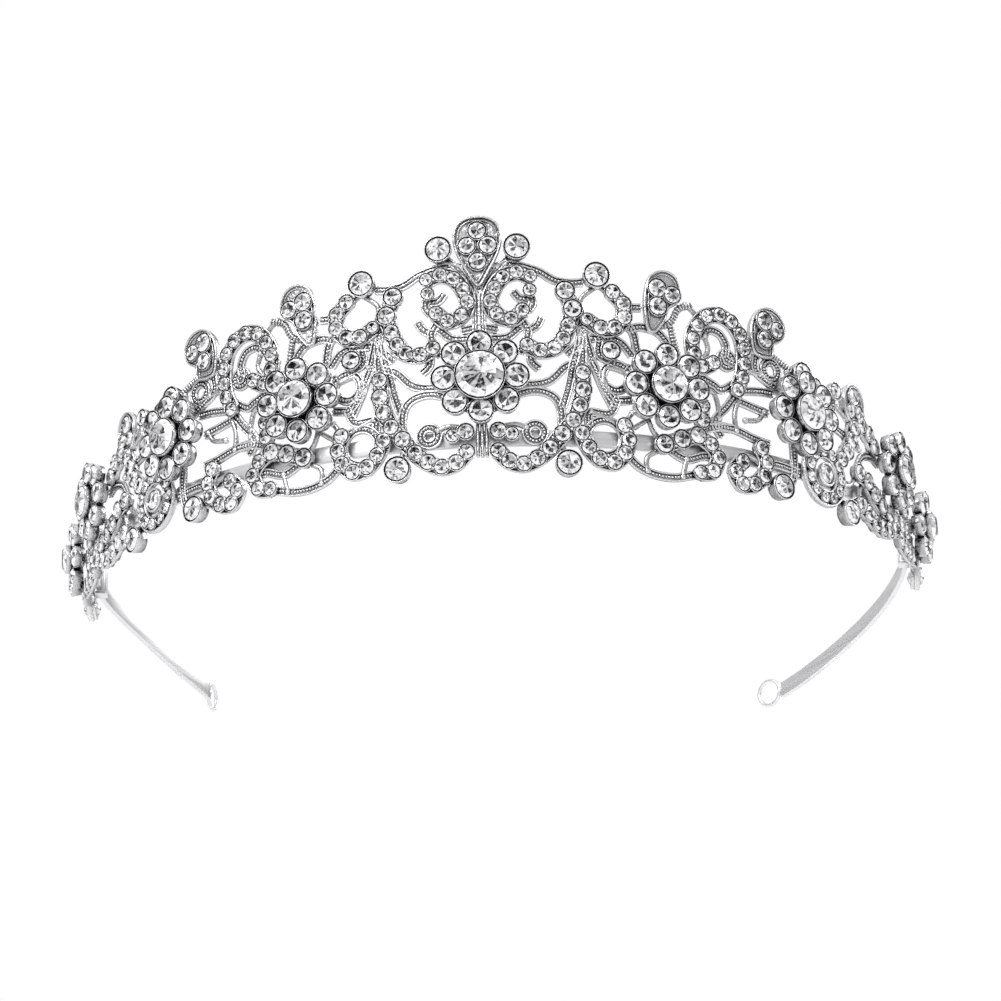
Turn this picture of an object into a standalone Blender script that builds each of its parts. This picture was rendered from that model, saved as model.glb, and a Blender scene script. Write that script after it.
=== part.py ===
"""Bridal tiara: a cast filigree front with foiled stones, brazed to a flat sprung headband.

The filigree is drawn flat, as (u, v) in millimetres: u runs along the front from the middle of the
brow towards +X, v runs up from the headband's lower edge. relief() fills the drawing, gives each
region its height, and wraps it round the brow. The drawing is made for +X and mirrored for -X.
Frame: metres, +Z up, the brow faces -Y, the open back of the hoop faces +Y.
"""
import math

import bmesh
import bpy
from mathutils import Euler, Matrix, Vector
from mathutils.geometry import delaunay_2d_cdt

MM = 0.001

# Driving sizes, in millimetres.
HOOP_RADIUS = 70.2         # outer face of the headband at the brow
BAND_THICKNESS = 0.9
BAND_HEIGHT = 2.8
SOLDER_GAP = 0.3           # clearance between pieces that are brazed together
STONE_GAP = 0.12           # clearance round a stone in its cup

WIRE_RISE = 1.1            # thickness of plain filigree wire
PAVE_RISE = 1.6            # thickness of the stone-set strips and plates
BEZEL_RISE = 2.5           # height of a round cup's rim
SEAT_RISE = 0.7            # floor under a stone set in the filigree
WIRE_WIDTH = 1.1
ROPE_WIDTH = 1.3
PAVE_WIDTH = 2.5
SEAM_GAP = 0.24            # clearance between neighbouring filigree castings

ROSETTE_PLATE = 0.7        # back plate of a rosette
PETAL_RISE = 2.1           # rim of a petal cup, above the rosette's back
HEART_RISE = 2.9           # rim of the middle cup, above the rosette's back
RIM_WALL = 0.36            # wall of a cup round its stone
PETAL_LAP = 0.4            # how far a rosette's solid petals run into each other
SEAT_MARGIN = 0.6          # how far the plate under a rosette reaches beyond its heart

LOOP_RADIUS = 2.25         # middle of the end loop's wire
LOOP_WIRE = 0.32           # radius of the end loop's wire
LOOP_TURN = {"right": 28.0, "left": 0.0}   # each loop's twist about the upright, in degrees
CLAMP_LENGTH = 3.0
CLAMP_WALL = 0.6
CLAMP_BEFORE_TAIL = 0.8    # from the clamp's middle to where the tail's drop begins
ROUND_PAST_CLAMP = 6.0     # how far the band keeps to the round after the clamp

# The arms are bent by hand, each a little differently. Places are (on, inward) from the end of the round.
ARM_LEAD = {"right": 19.5, "left": 12.5}                   # how far an arm runs on before it turns in
ARM_TURN = {"right": (31.0, 7.5), "left": (42.0, 11.2)}    # the point that draws the arm in
ARM_END = {"right": (54.0, 17.3), "left": (46.6, 10.6)}    # where the arm meets its wire loop
ARM_DROP = {"right": 6.2, "left": 4.7}                     # how far the arm's end lies below the brow's band

# Round cups cast with the filigree: name -> (u, v, stone radius).
BEZELS = {
    "crown_tip": (6.5, 34.1, 1.95),
    "scroll_tip": (19.7, 29.4, 1.95),
    "hem_inner": (14.2, -3.7, 1.95),
    "hem_outer": (53.9, -3.3, 1.95),
    "hem_end": (71.2, -4.0, 1.9),
}
CREST_STONES = {
    "top": (0.0, 37.3, 1.3),
    "right": (1.8, 34.7, 1.25),
    "left": (-1.8, 34.7, 1.25),
    "bottom": (0.0, 31.7, 1.3),
}
# Rosettes brazed on the front of the filigree:
# name -> (u, v, heart stone's radius, petal stone's radius, petals' stand-off from the heart cup, petals).
ROSETTES = {
    "centre": (0.0, 11.0, 3.9, 1.75, 0.05, 8),
    "inner": (30.9, 10.4, 2.9, 1.6, 0.3, 8),
    "outer": (58.5, 10.2, 2.9, 1.6, 0.3, 8),
    "side": (87.0, 7.6, 2.4, 1.5, 0.5, 8),
    "end": (102.6, 2.4, 2.2, 1.5, 0.0, 7),
}

# The drawing. Each strip is (width, points); each plate is an outline.
CREST = [(0, 27.6), (1.9, 30.2), (3.3, 33.2), (3.8, 36.0), (3.0, 38.3), (1.3, 39.4)]
CENTRE_STONED = [
    [(8.4, 29.3), (6.2, 30.0), (3.9, 29.0), (2.3, 26.9), (1.7, 24.3), (2.7, 21.9), (5.2, 21.2),
     (7.0, 22.9)],
    [(14.7, 26.8), (15.8, 23.6), (15.0, 20.9), (14.4, 18.5), (12.7, 16.7), (10.3, 16.2),
     (8.0, 17.1)],
    [(16.9, 13.2), (16.9, 9.8), (16.4, 6.9), (15.3, 3.9), (13.4, 1.4), (11.4, -0.8), (9.2, -2.6),
     (6.8, -3.5), (4.3, -3.2), (2.4, -1.6), (1.9, 0.7), (3.2, 2.8)],
]
CENTRE_WIRES = [
    [(7.4, 30.2), (10.0, 29.5), (12.6, 28.2), (14.8, 28.2), (17.6, 28.4)],
    [(2.6, 31.2), (6.2, 32.4)],
    [(7.7, 29.6), (8.6, 27.4), (8.3, 25.2), (6.6, 25.0), (5.2, 26.2)],
    [(8.0, 16.4), (7.3, 18.6), (8.6, 21.0)],
    [(8.4, 16.0), (8.4, 13.8), (9.6, 12.6)],
    [(5.2, 10.6), (8.6, 10.3), (11.6, 11.0), (14.2, 13.4), (16.6, 14.4)],
    [(5.4, 8.4), (8.8, 9.2), (11.8, 8.4), (13.2, 6.4), (13.4, 3.4)],
    [(6.8, 20.4), (4.6, 18.6), (2.0, 18.4)],
    [(2.6, 3.0), (5.6, 3.4), (7.4, 2.8)],
    [(14.6, 15.6), (16.8, 18.0), (17.0, 21.6)],
    [(13.9, -2.0), (13.1, 0.4)],
]
CENTRE_RING = (8.9, 1.9, 1.5)
BLADE = [(15.6, 16.2), (16.2, 14.0), (17.0, 12.4), (18.2, 14.4), (18.4, 16.6), (17.6, 18.8),
         (17.0, 20.6), (16.2, 18.6)]
INNER_STONED = [
    [(16.6, 22.6), (18.0, 21.9), (20.0, 20.2), (22.3, 20.3), (24.2, 22.1), (24.3, 24.8),
     (22.5, 26.7)],
    [(16.4, 1.0), (17.5, -1.4), (19.5, -2.8), (21.9, -3.1), (23.9, -1.5), (24.5, 1.2),
     (23.9, 3.4)],
    [(30.2, 0.8), (33.4, 1.9), (36.5, 3.0), (39.3, 1.9), (40.9, 0.3), (41.1, -1.7), (39.6, -3.5),
     (37.3, -3.4)],
    [(36.8, 3.0), (38.0, 5.8), (38.1, 8.1)],
]
INNER_WIRES = [
    [(22.0, 26.6), (20.2, 28.0)],
    [(19.6, 27.6), (17.2, 25.4), (17.6, 22.4)],
    [(24.4, 24.4), (27.6, 24.6)],
    [(25.0, 21.4), (26.2, 19.8), (26.8, 16.6), (27.6, 14.2)],
    [(25.2, 20.6), (27.6, 21.2), (30.8, 20.4), (33.0, 17.4), (33.6, 14.4)],
    [(28.4, 22.2), (31.4, 21.8), (33.2, 22.8), (34.6, 25.2), (37.0, 26.0)],
    [(33.0, 21.8), (33.6, 18.8), (34.6, 15.4), (34.4, 12.6)],
    [(18.8, 18.6), (20.8, 18.8), (23.8, 18.2), (25.8, 16.0)],
    [(20.2, 18.6), (20.0, 16.0), (21.4, 15.0), (25.4, 13.6)],
    [(18.4, 15.0), (19.8, 12.6), (21.2, 9.4), (22.8, 8.0), (25.6, 8.2)],
    [(20.6, 11.2), (21.4, 13.6), (25.0, 12.8)],
    [(18.4, 5.8), (21.4, 4.6), (23.6, 3.6), (25.6, 6.0)],
    [(18.0, 3.2), (18.2, 5.6), (21.6, 5.6), (23.2, 8.4)],
    [(24.6, -1.6), (26.6, -3.4), (29.6, -4.5), (33.0, -4.6), (36.4, -3.8)],
    [(30.0, -0.2), (28.0, -1.6), (28.0, -4.0)],
    [(31.6, 0.4), (35.0, -1.2), (38.6, -0.2), (41.2, -0.4)],
    [(35.2, -1.2), (34.4, -4.4)],
    [(28.4, 5.6), (29.2, 3.2), (30.6, 1.6)],
    [(38.0, 8.4), (36.4, 10.2), (34.0, 10.4)],
    [(38.6, 4.4), (41.0, 5.2), (44.0, 5.4)],
    [(24.6, 2.6), (27.6, 4.6), (29.0, 6.0)],
]
INNER_FINIAL = [(28.0, 21.4), (27.3, 24.6), (27.4, 27.6), (28.6, 30.1), (30.8, 31.2), (33.0, 30.4),
                (34.0, 28.2), (33.4, 26.4), (31.9, 25.0), (31.4, 23.0), (29.4, 20.8)]
OUTER_STONED = [
    [(40.6, 16.3), (38.2, 15.3), (36.9, 17.6), (36.8, 20.3), (38.0, 22.8), (40.0, 24.6),
     (42.5, 24.9), (44.8, 23.8), (46.3, 21.8), (46.8, 19.4), (46.8, 17.0), (46.3, 14.6),
     (45.2, 12.2)],
    [(45.6, -0.4), (44.2, -2.4), (45.4, -4.1), (47.8, -3.9), (50.2, -2.0), (50.9, 0.7),
     (49.5, 3.0)],
    [(59.6, 17.6), (62.1, 16.3), (64.4, 14.6)],
]
OUTER_WIRES = [
    [(35.9, 26.1), (37.4, 25.0), (38.6, 23.6)],
    [(39.0, 20.6), (40.2, 22.2), (42.4, 21.8), (43.6, 19.8), (43.4, 17.6), (45.8, 16.8)],
    [(38.2, 16.0), (40.0, 18.6), (39.4, 21.0)],
    [(45.4, 11.8), (43.4, 9.2), (40.8, 6.2), (42.0, 3.6)],
    [(36.6, 14.6), (38.6, 13.6), (41.0, 12.6), (42.4, 12.0), (45.2, 13.6)],
    [(37.2, 13.6), (37.8, 11.4), (40.6, 11.4), (41.6, 9.4), (41.8, 6.8)],
    [(41.0, 5.6), (44.8, 5.4), (49.0, 4.4), (52.2, 4.0)],
    [(46.6, 22.4), (49.4, 20.2), (53.0, 19.9), (56.2, 18.8), (59.0, 17.4)],
    [(49.8, 19.4), (49.6, 16.6), (52.6, 14.8), (55.0, 13.6)],
    [(46.2, 12.4), (50.0, 13.0), (53.2, 13.2)],
    [(45.6, 10.6), (48.6, 10.0), (52.0, 9.4)],
    [(47.2, 7.4), (50.0, 8.0), (51.2, 9.6)],
    [(46.6, 16.4), (50.6, 16.0)],
    [(46.0, 0.2), (47.6, 1.2), (49.8, 0.6)],
    [(46.0, 11.2), (45.0, 8.2), (45.2, 5.2)],
    [(51.2, 0.6), (54.4, 0.8), (58.8, 0.4)],
    [(50.8, -2.0), (52.0, -3.0)],
    [(56.0, -3.0), (57.4, -1.0), (57.8, 1.6), (57.6, 5.4)],
    [(56.8, 17.8), (57.4, 14.0)],
    [(62.6, 15.2), (61.2, 12.6)],
]
OUTER_FINIAL = [(49.4, 19.4), (48.6, 22.0), (48.8, 24.8), (50.2, 27.1), (52.4, 28.0), (54.8, 27.2),
                (55.9, 25.2), (55.2, 23.0), (53.2, 21.6), (52.8, 19.4)]
END_STONED = [
    [(69.6, 5.2), (72.2, 7.8), (73.4, 11.0), (75.6, 12.8), (78.6, 12.2), (80.8, 10.2)],
    [(72.8, -2.6), (75.8, -1.4), (78.8, -2.8), (82.0, -3.6), (85.4, -3.2), (88.6, -2.2)],
    [(75.0, 4.2), (78.0, 3.4), (81.2, 1.2), (84.6, 0.2), (88.4, -0.4), (92.0, -0.2), (95.4, -0.6)],
    [(91.2, 4.8), (95.0, 2.8), (99.6, 0.6)],
    [(88.6, -2.2), (92.0, -3.0), (95.6, -3.6), (99.4, -3.4), (103.2, -2.6), (107.2, -1.8)],
    [(106.4, 2.6), (109.4, 1.2), (112.4, 0.0), (115.2, -1.2)],
    [(107.2, -1.8), (111.0, -2.0), (115.0, -2.0)],
]
END_WIRES = [
    [(64.8, 13.0), (67.0, 11.4), (70.4, 10.4), (73.0, 9.8)],
    [(66.8, 7.4), (67.8, 10.2), (68.4, 13.8), (68.4, 17.4)],
    [(66.9, 1.5), (68.8, 1.9)],
    [(69.6, 14.6), (72.6, 13.4)],
    [(70.2, 0.8), (73.0, 1.6), (75.2, 3.8)],
    [(75.0, 4.2), (77.0, 7.4), (80.6, 8.6), (83.4, 8.0)],
    [(74.6, 11.8), (76.4, 8.8)],
    [(69.4, -2.0), (71.2, -1.8), (73.6, -2.2)],
    [(75.8, -1.4), (76.2, 1.6), (78.4, 3.2)],
    [(82.0, -3.6), (84.2, -1.6), (84.6, 0.4), (85.6, 4.0)],
    [(89.6, 8.4), (93.6, 6.4), (97.2, 5.4), (100.4, 4.2)],
    [(95.4, -0.6), (96.0, -3.6)],
    [(103.6, 0.8), (104.0, -2.4)],
    [(110.0, 1.0), (110.8, -2.0)],
]
MEDALLION = (65.0, 1.3, 4.1)      # u, v and the ring's middle radius
MEDALLION_HEART = 1.9
SIDE_FINIAL = [(72.6, 13.0), (71.3, 15.4), (71.6, 17.8), (73.4, 19.4), (75.8, 19.2), (77.2, 17.2),
               (76.8, 14.8), (75.2, 12.4)]
TAIL_DROP = [(114.2, -0.4), (116.4, 0.0), (118.4, -1.0), (118.9, -2.4), (117.8, -3.8), (115.8, -3.6),
             (114.2, -2.8)]
SMALL_TIP = (68.3, 18.2, 1.5)

# Seams between neighbouring castings, from below the hem to above the crest.
LOW, HIGH = -9, 45
SEAM_CENTRE = [(16.85, LOW), (16.85, -3.4), (14.9, -0.9), (17.7, 4.2), (18.5, 8), (18.7, 14),
               (18.8, 18.0), (16.7, 21.2), (16.7, 24.0), (17.1, 30), (13.0, HIGH)]
SEAM_OUTER = [(42.55, LOW), (42.55, 3.4), (40.3, 6.6), (39.9, 9.7), (36.6, 10.9), (35.6, 13.8),
              (35.1, 17.5), (35.2, 21.5), (35.9, 25.0), (35.4, HIGH)]
SEAM_END = [(58.5, LOW), (58.9, -1.6), (58.9, 3.2), (61.0, 6.2), (64.6, 7.4), (64.9, 12),
            (66.3, 14.6), (66.4, HIGH)]
PAST_TAIL = [(130, LOW), (130, HIGH)]    # beyond the ends of the filigree
OUTLINE_BEND = math.radians(9)           # bends in an outline smaller than this are made straight
LONGEST_SPAN = 6.5         # longest flat run along the front, so that a wrapped back clears the band

PANEL_BACK = HOOP_RADIUS + SOLDER_GAP
ROSETTE_BACK = PANEL_BACK + PAVE_RISE + SOLDER_GAP
DRAWN_RADIUS = PANEL_BACK + 1.5          # u is measured on this radius, in the plates' outer face
BAND_Z = BEZELS["hem_inner"][2] + RIM_WALL + STONE_GAP - BEZELS["hem_inner"][1]
CLAMP_AT = TAIL_DROP[0][0] - CLAMP_BEFORE_TAIL
HOOP_SWEEP = (CLAMP_AT + ROUND_PAST_CLAMP) / DRAWN_RADIUS   # radians, from the brow's middle to each arm


def clear_scene():
    for obj in list(bpy.data.objects):
        bpy.data.objects.remove(obj)


def collection(name, hidden=False):
    made = bpy.data.collections.new(name)
    made.hide_render = hidden
    bpy.context.scene.collection.children.link(made)
    return made


def material(name, colour, roughness, metallic, transmission=0.0):
    made = bpy.data.materials.new(name)
    made.use_nodes = True
    shader = made.node_tree.nodes["Principled BSDF"]
    shader.inputs["Base Color"].default_value = (*colour, 1.0)
    shader.inputs["Roughness"].default_value = roughness
    shader.inputs["Metallic"].default_value = metallic
    shader.inputs["Transmission Weight"].default_value = transmission
    return made


clear_scene()
TIARA = collection("bridal_tiara")
PLATED = material("rhodium_plate", (0.80, 0.80, 0.81), 0.16, 1.0)
STRIP = material("bright_strip", (0.78, 0.78, 0.79), 0.24, 1.0)
CRYSTAL = material("foiled_crystal", (0.95, 0.96, 0.97), 0.04, 0.0, 0.6)


def place(name, bm, finish, smooth_angle=None):
    """Puts a mesh, already in the row frame and in metres, into the collection as one sub-part."""
    mesh = bpy.data.meshes.new(name)
    bm.to_mesh(mesh)
    bm.free()
    mesh.materials.append(finish)
    if smooth_angle:
        mesh.shade_smooth()
        mesh.set_sharp_from_angle(angle=math.radians(smooth_angle))
    obj = bpy.data.objects.new(name, mesh)
    TIARA.objects.link(obj)
    return obj


def wrap(u, v, radius):
    """A point of the flat drawing, set round the brow at this radius. Millimetres in, metres out."""
    turn = u / DRAWN_RADIUS
    return Vector((radius * math.sin(turn), -radius * math.cos(turn), v + BAND_Z)) * MM


# Flat outlines, in millimetres.

def circle(u, v, radius, corners):
    turns = [2 * math.pi * k / corners for k in range(corners)]
    return [(u + radius * math.cos(turn), v + radius * math.sin(turn)) for turn in turns]


def ribbon(points, width):
    """The outline of a strip of even width along a path, run on a little past both ends."""
    path = [Vector(p) for p in points]
    runs = [(b - a).normalized() for a, b in zip(path, path[1:])]
    left, right = [], []
    for k, at in enumerate(path):
        before, after = runs[max(k - 1, 0)], runs[min(k, len(runs) - 1)]
        middle = (before + after).normalized()
        side = Vector((-middle.y, middle.x)) * (width / 2 / max(middle.dot(after), 0.75))
        left.append(at + side)
        right.append(at - side)
    left[0], right[0] = (p - runs[0] * width * 0.3 for p in (left[0], right[0]))
    left[-1], right[-1] = (p + runs[-1] * width * 0.3 for p in (left[-1], right[-1]))
    return [tuple(p) for p in left + right[::-1]]


def mirrored(outline):
    return [(-u, v) for u, v in reversed(outline)]


def seam_zone(low, high):
    """The area between two seams, held back from both by half the seam's gap."""
    left = [(u + SEAM_GAP / 2, v) for u, v in low]
    right = [(u - SEAM_GAP / 2, v) for u, v in high]
    return left[::-1] + right


def shape(outline, rise, sunk=False):
    return {"outline": outline, "rise": rise, "sunk": sunk}


def strips(paths, width, rise):
    return [shape(ribbon(points, width), rise) for points in paths]


def ring(u, v, middle_radius, width, corners, rise):
    """A flat ring, as its outer disc and the hole in it."""
    return [shape(circle(u, v, middle_radius + width / 2, corners), rise),
            shape(circle(u, v, middle_radius - width / 2, corners), 0.0, sunk=True)]


def cup(u, v, stone, corners, rim, floor):
    """A stone's cup, as its rim disc and the sunk floor in it."""
    return [shape(circle(u, v, stone + STONE_GAP + RIM_WALL, corners), rim),
            shape(circle(u, v, stone + STONE_GAP, corners), floor, sunk=True)]


# The solid, made level by level.

def anticlockwise(outline):
    twice_area = sum(a[0] * b[1] - b[0] * a[1] for a, b in zip(outline, outline[1:] + outline[:1]))
    return outline if twice_area > 0 else outline[::-1]


def filled(shapes, zone):
    """Triangulates the drawing. Returns the flat points, and each triangle with its height.

    A later shape wins over an earlier one where its height is a sunk floor or a hole, and otherwise
    the highest shape wins. Nothing outside the zone is kept."""
    outlines = [s["outline"] for s in shapes] + ([zone] if zone else [])
    points, faces = [], []
    for outline in outlines:
        faces.append(list(range(len(points), len(points) + len(outline))))
        points.extend(Vector(p) for p in anticlockwise(outline))
    flat, _, triangles, _, _, sources = delaunay_2d_cdt(points, [], faces, 1, 1e-4, True)
    kept = []
    for triangle, source in zip(triangles, sources):
        over = sorted(set(source))
        if zone and len(shapes) not in over:
            continue
        height = 0.0
        for k in over:
            if k >= len(shapes):
                continue
            rise = shapes[k]["rise"]
            height = rise if shapes[k]["sunk"] else max(height, rise)
        if height > 0:
            kept.append((tuple(triangle), height))
    return flat, kept


def thinned(flat, triangles):
    """The same regions with as few triangles as their outlines need: inner edges are dissolved."""
    levels = sorted({height for _, height in triangles})
    bm = bmesh.new()
    corners = [bm.verts.new((p.x, p.y, 0.0)) for p in flat]
    for triangle, height in triangles:
        bm.faces.new([corners[k] for k in triangle]).material_index = levels.index(height)
    bmesh.ops.delete(bm, geom=[v for v in bm.verts if not v.link_faces], context="VERTS")
    bmesh.ops.dissolve_limit(bm, angle_limit=OUTLINE_BEND, verts=bm.verts, edges=bm.edges,
                             delimit={"MATERIAL"})
    bmesh.ops.triangulate(bm, faces=bm.faces)
    long_edges = [edge for edge in bm.edges if abs(edge.verts[0].co.x - edge.verts[1].co.x) > LONGEST_SPAN]
    bmesh.ops.subdivide_edges(bm, edges=long_edges, cuts=1)
    bmesh.ops.triangulate(bm, faces=bm.faces)
    bm.verts.index_update()
    points = [v.co.copy() for v in bm.verts]
    faces = [(tuple(v.index for v in face.verts), levels[face.material_index]) for face in bm.faces]
    bm.free()
    return points, faces


def relief(name, shapes, back, zone=None):
    """A casting: every region of the drawing, raised from its back to its own height and wrapped."""
    flat, triangles = thinned(*filled(shapes, zone))
    sides, steps_at = {}, {}
    for triangle, height in triangles:
        for a, b in zip(triangle, triangle[1:] + triangle[:1]):
            sides[a, b] = height
            steps_at.setdefault(a, set()).add(height)
    for a, b in list(sides):
        if (b, a) not in sides:
            steps_at[a].add(0.0)
            steps_at[b].add(0.0)
    bm = bmesh.new()
    corner = {}

    def at(index, level):
        if (index, level) not in corner:
            point = flat[index]
            corner[index, level] = bm.verts.new(wrap(point.x, point.y, back + level))
        return corner[index, level]

    for triangle, height in triangles:
        bm.faces.new([at(k, height) for k in triangle])
        bm.faces.new([at(k, 0.0) for k in reversed(triangle)])
    for (a, b), high in sides.items():
        low = sides.get((b, a), 0.0)
        if low < high:
            rising = [at(b, step) for step in sorted(steps_at[b]) if low <= step <= high]
            falling = [at(a, step) for step in sorted(steps_at[a], reverse=True) if low <= step <= high]
            bm.faces.new(rising + falling)
    bmesh.ops.triangulate(bm, faces=bm.faces)
    bmesh.ops.recalc_face_normals(bm, faces=bm.faces)
    return place(name, bm, PLATED)


# The filigree castings.

def filigree(stoned, wires, plates, cups, rings):
    """All the regions of one casting, for +X."""
    shapes = []
    for u, v, radius, width in rings:
        shapes += ring(u, v, radius, width, 10, WIRE_RISE)
    shapes += strips(wires, WIRE_WIDTH, WIRE_RISE)
    shapes += [shape(outline, PAVE_RISE) for outline in plates]
    shapes += strips(stoned, PAVE_WIDTH, PAVE_RISE)
    for name in cups:
        shapes += cup(*BEZELS[name], 12, BEZEL_RISE, SEAT_RISE)
    return shapes


def both_sides(shapes):
    """The drawing and its mirror image, rims before floors so that no rim fills a neighbour's floor."""
    other = [shape(mirrored(s["outline"]), s["rise"], s["sunk"]) for s in shapes]
    return sorted(shapes + other, key=lambda s: s["sunk"])


def petal_circle(name):
    """Radius of the circle on which a rosette's petal stones lie."""
    _, _, heart, petal, stand_off, _ = ROSETTES[name]
    return heart + petal + 2 * STONE_GAP + RIM_WALL + stand_off


def rosette_seat(name):
    u, v, _, petal, _, _ = ROSETTES[name]
    return circle(u, v, petal_circle(name) - petal + SEAT_MARGIN, 12)


def centre_casting():
    shapes = both_sides(filigree(CENTRE_STONED, CENTRE_WIRES, [BLADE], ["crown_tip", "hem_inner"],
                                 [(*CENTRE_RING, WIRE_WIDTH)]))
    crest = CREST + [(-u, v) for u, v in reversed(CREST[1:])]
    stem = ribbon([(0, 28.4), (0, 14.0)], ROPE_WIDTH)
    hem = ribbon([(0, 4.0), (0, -1.8)], 2.6)
    brow = ribbon([(-3.0, 20.4), (3.0, 20.4)], ROPE_WIDTH)
    shapes = [shape(crest, PAVE_RISE), shape(rosette_seat("centre"), PAVE_RISE), shape(stem, WIRE_RISE),
              shape(brow, WIRE_RISE), shape(hem, PAVE_RISE)] + shapes
    for u, v, stone in CREST_STONES.values():
        shapes.append(shape(circle(u, v, stone + STONE_GAP, 8), SEAT_RISE, sunk=True))
    zone = seam_zone([(-u, v) for u, v in SEAM_CENTRE], SEAM_CENTRE)
    relief("filigree_centre", shapes, PANEL_BACK, zone)


def side_castings():
    medallion = [(*MEDALLION, 2.3), (*MEDALLION[:2], MEDALLION_HEART, WIRE_WIDTH)]
    tip = circle(*SMALL_TIP, 8)
    castings = {
        "inner": (SEAM_CENTRE, SEAM_OUTER, filigree(
            INNER_STONED, INNER_WIRES, [INNER_FINIAL, rosette_seat("inner")], ["scroll_tip"],
            [(22.9, 12.0, 2.3, ROPE_WIDTH), (20.7, 1.3, 3.1, WIRE_WIDTH), (21.9, 16.4, 1.6, WIRE_WIDTH)])),
        "outer": (SEAM_OUTER, SEAM_END, filigree(
            OUTER_STONED, OUTER_WIRES, [OUTER_FINIAL, rosette_seat("outer")], ["hem_outer"],
            [(43.6, 17.4, 1.3, WIRE_WIDTH), (53.0, 17.2, 1.6, WIRE_WIDTH)])),
        "end": (SEAM_END, PAST_TAIL, filigree(
            END_STONED, END_WIRES, [SIDE_FINIAL, TAIL_DROP, tip, rosette_seat("side"), rosette_seat("end")],
            ["hem_end"], medallion)),
    }
    for name, (low, high, shapes) in castings.items():
        zone = seam_zone(low, high)
        relief(f"filigree_{name}_right", shapes, PANEL_BACK, zone)
        other = [shape(mirrored(s["outline"]), s["rise"], s["sunk"]) for s in shapes]
        relief(f"filigree_{name}_left", other, PANEL_BACK, mirrored(zone))


# Rosettes and stones.

def petal_places(name):
    """(u, v) of each petal of a rosette for +X, the first one straight up."""
    u, v, _, _, _, count = ROSETTES[name]
    radius = petal_circle(name)
    turns = [math.pi / 2 + 2 * math.pi * k / count for k in range(count)]
    return [(u + radius * math.cos(turn), v + radius * math.sin(turn)) for turn in turns]


def rosette(name, side):
    """Petal cups round a taller heart cup. Only the centre rosette's petals are sunk for stones."""
    u, v, heart, petal, _, _ = ROSETTES[name]
    rims, floors = [], []
    for pu, pv in petal_places(name):
        if name == "centre":
            rim, floor = cup(pu, pv, petal, 8, PETAL_RISE, ROSETTE_PLATE)
            rims.append(rim)
            floors.append(floor)
        else:
            rims.append(shape(circle(pu, pv, petal + RIM_WALL + PETAL_LAP, 6), PETAL_RISE))
    heart_rim, heart_floor = cup(u, v, heart, 10, HEART_RISE, ROSETTE_PLATE)
    web = shape(circle(u, v, heart + RIM_WALL + PETAL_LAP, 10), ROSETTE_PLATE)
    shapes = [web, *rims, heart_rim, *floors, heart_floor]
    if side < 0:
        shapes = [shape(mirrored(s["outline"]), s["rise"], s["sunk"]) for s in shapes]
    return relief(f"rosette_{node_side(name, side)}", shapes, ROSETTE_BACK)


def node_side(name, side):
    return name if name == "centre" else f"{name}_{'right' if side > 0 else 'left'}"


def chaton(name, u, v, radius, floor, facets=8):
    """A cut stone: flat table, crown, girdle and pointed pavilion, turned about its own axis."""
    depth, crown, table = 0.62 * radius, 0.42 * radius, 0.56 * radius
    profile = [(0.0, crown), (table, crown), (radius, 0.08 * radius), (radius, 0.0), (0.0, -depth)]
    bm = bmesh.new()
    points = [bm.verts.new((r * MM, 0.0, h * MM)) for r, h in profile]
    for a, b in zip(points, points[1:]):
        bm.edges.new((a, b))
    obj = place(name, bm, CRYSTAL)
    turn = u / DRAWN_RADIUS
    obj.location = wrap(u, v, floor + STONE_GAP + depth)
    obj.rotation_euler = Euler((math.pi / 2, 0.0, turn))
    screw = obj.modifiers.new("facets", "SCREW")
    screw.steps = facets
    screw.render_steps = facets
    screw.use_merge_vertices = True
    screw.merge_threshold = 1e-6
    screw.use_smooth_shade = False
    return obj


def rosettes_and_stones():
    for name, (u, v, heart, petal, _, _) in ROSETTES.items():
        floor = ROSETTE_BACK + ROSETTE_PLATE
        for side in ((1,) if name == "centre" else (1, -1)):
            rosette(name, side)
            chaton(f"heart_stone_{node_side(name, side)}", u * side, v, heart, floor, 10)
    for k, (pu, pv) in enumerate(petal_places("centre"), 1):
        chaton(f"petal_stone_{k}", pu, pv, ROSETTES["centre"][3], ROSETTE_BACK + ROSETTE_PLATE)
    for place_name, (u, v, stone) in CREST_STONES.items():
        chaton(f"crest_stone_{place_name}", u, v, stone, PANEL_BACK + SEAT_RISE)
    for place_name, (u, v, stone) in BEZELS.items():
        for side, word in ((1, "right"), (-1, "left")):
            chaton(f"{place_name}_stone_{word}", u * side, v, stone, PANEL_BACK + SEAT_RISE)


# The headband and what is fixed to it.

def arm_points(word, steps=10):
    """Plan points of one arm's outer face, from where it leaves the round to its end."""
    side = 1 if word == "right" else -1
    outward = Vector((math.sin(HOOP_SWEEP), -math.cos(HOOP_SWEEP)))
    onward = Vector((math.cos(HOOP_SWEEP), math.sin(HOOP_SWEEP)))
    start = outward * HOOP_RADIUS
    offsets = ((0.0, 0.0), (ARM_LEAD[word], 0.0), ARM_TURN[word], ARM_END[word])
    ends = [start + onward * on - outward * inward for on, inward in offsets]
    points = []
    for k in range(1, steps + 1):
        t = k / steps
        weights = ((1 - t) ** 3, 3 * t * (1 - t) ** 2, 3 * t * t * (1 - t), t ** 3)
        x, y = sum((w * p for w, p in zip(weights, ends)), Vector((0, 0)))
        points.append((x * side, y))
    return points


def hoop_path(steps=39):
    """The headband's outer face in plan, from the left arm's end to the right arm's end."""
    arc = [HOOP_SWEEP * (2 * k / steps - 1) for k in range(steps + 1)]
    middle = [(HOOP_RADIUS * math.sin(turn), -HOOP_RADIUS * math.cos(turn)) for turn in arc]
    return arm_points("left")[::-1] + middle + arm_points("right")


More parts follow.
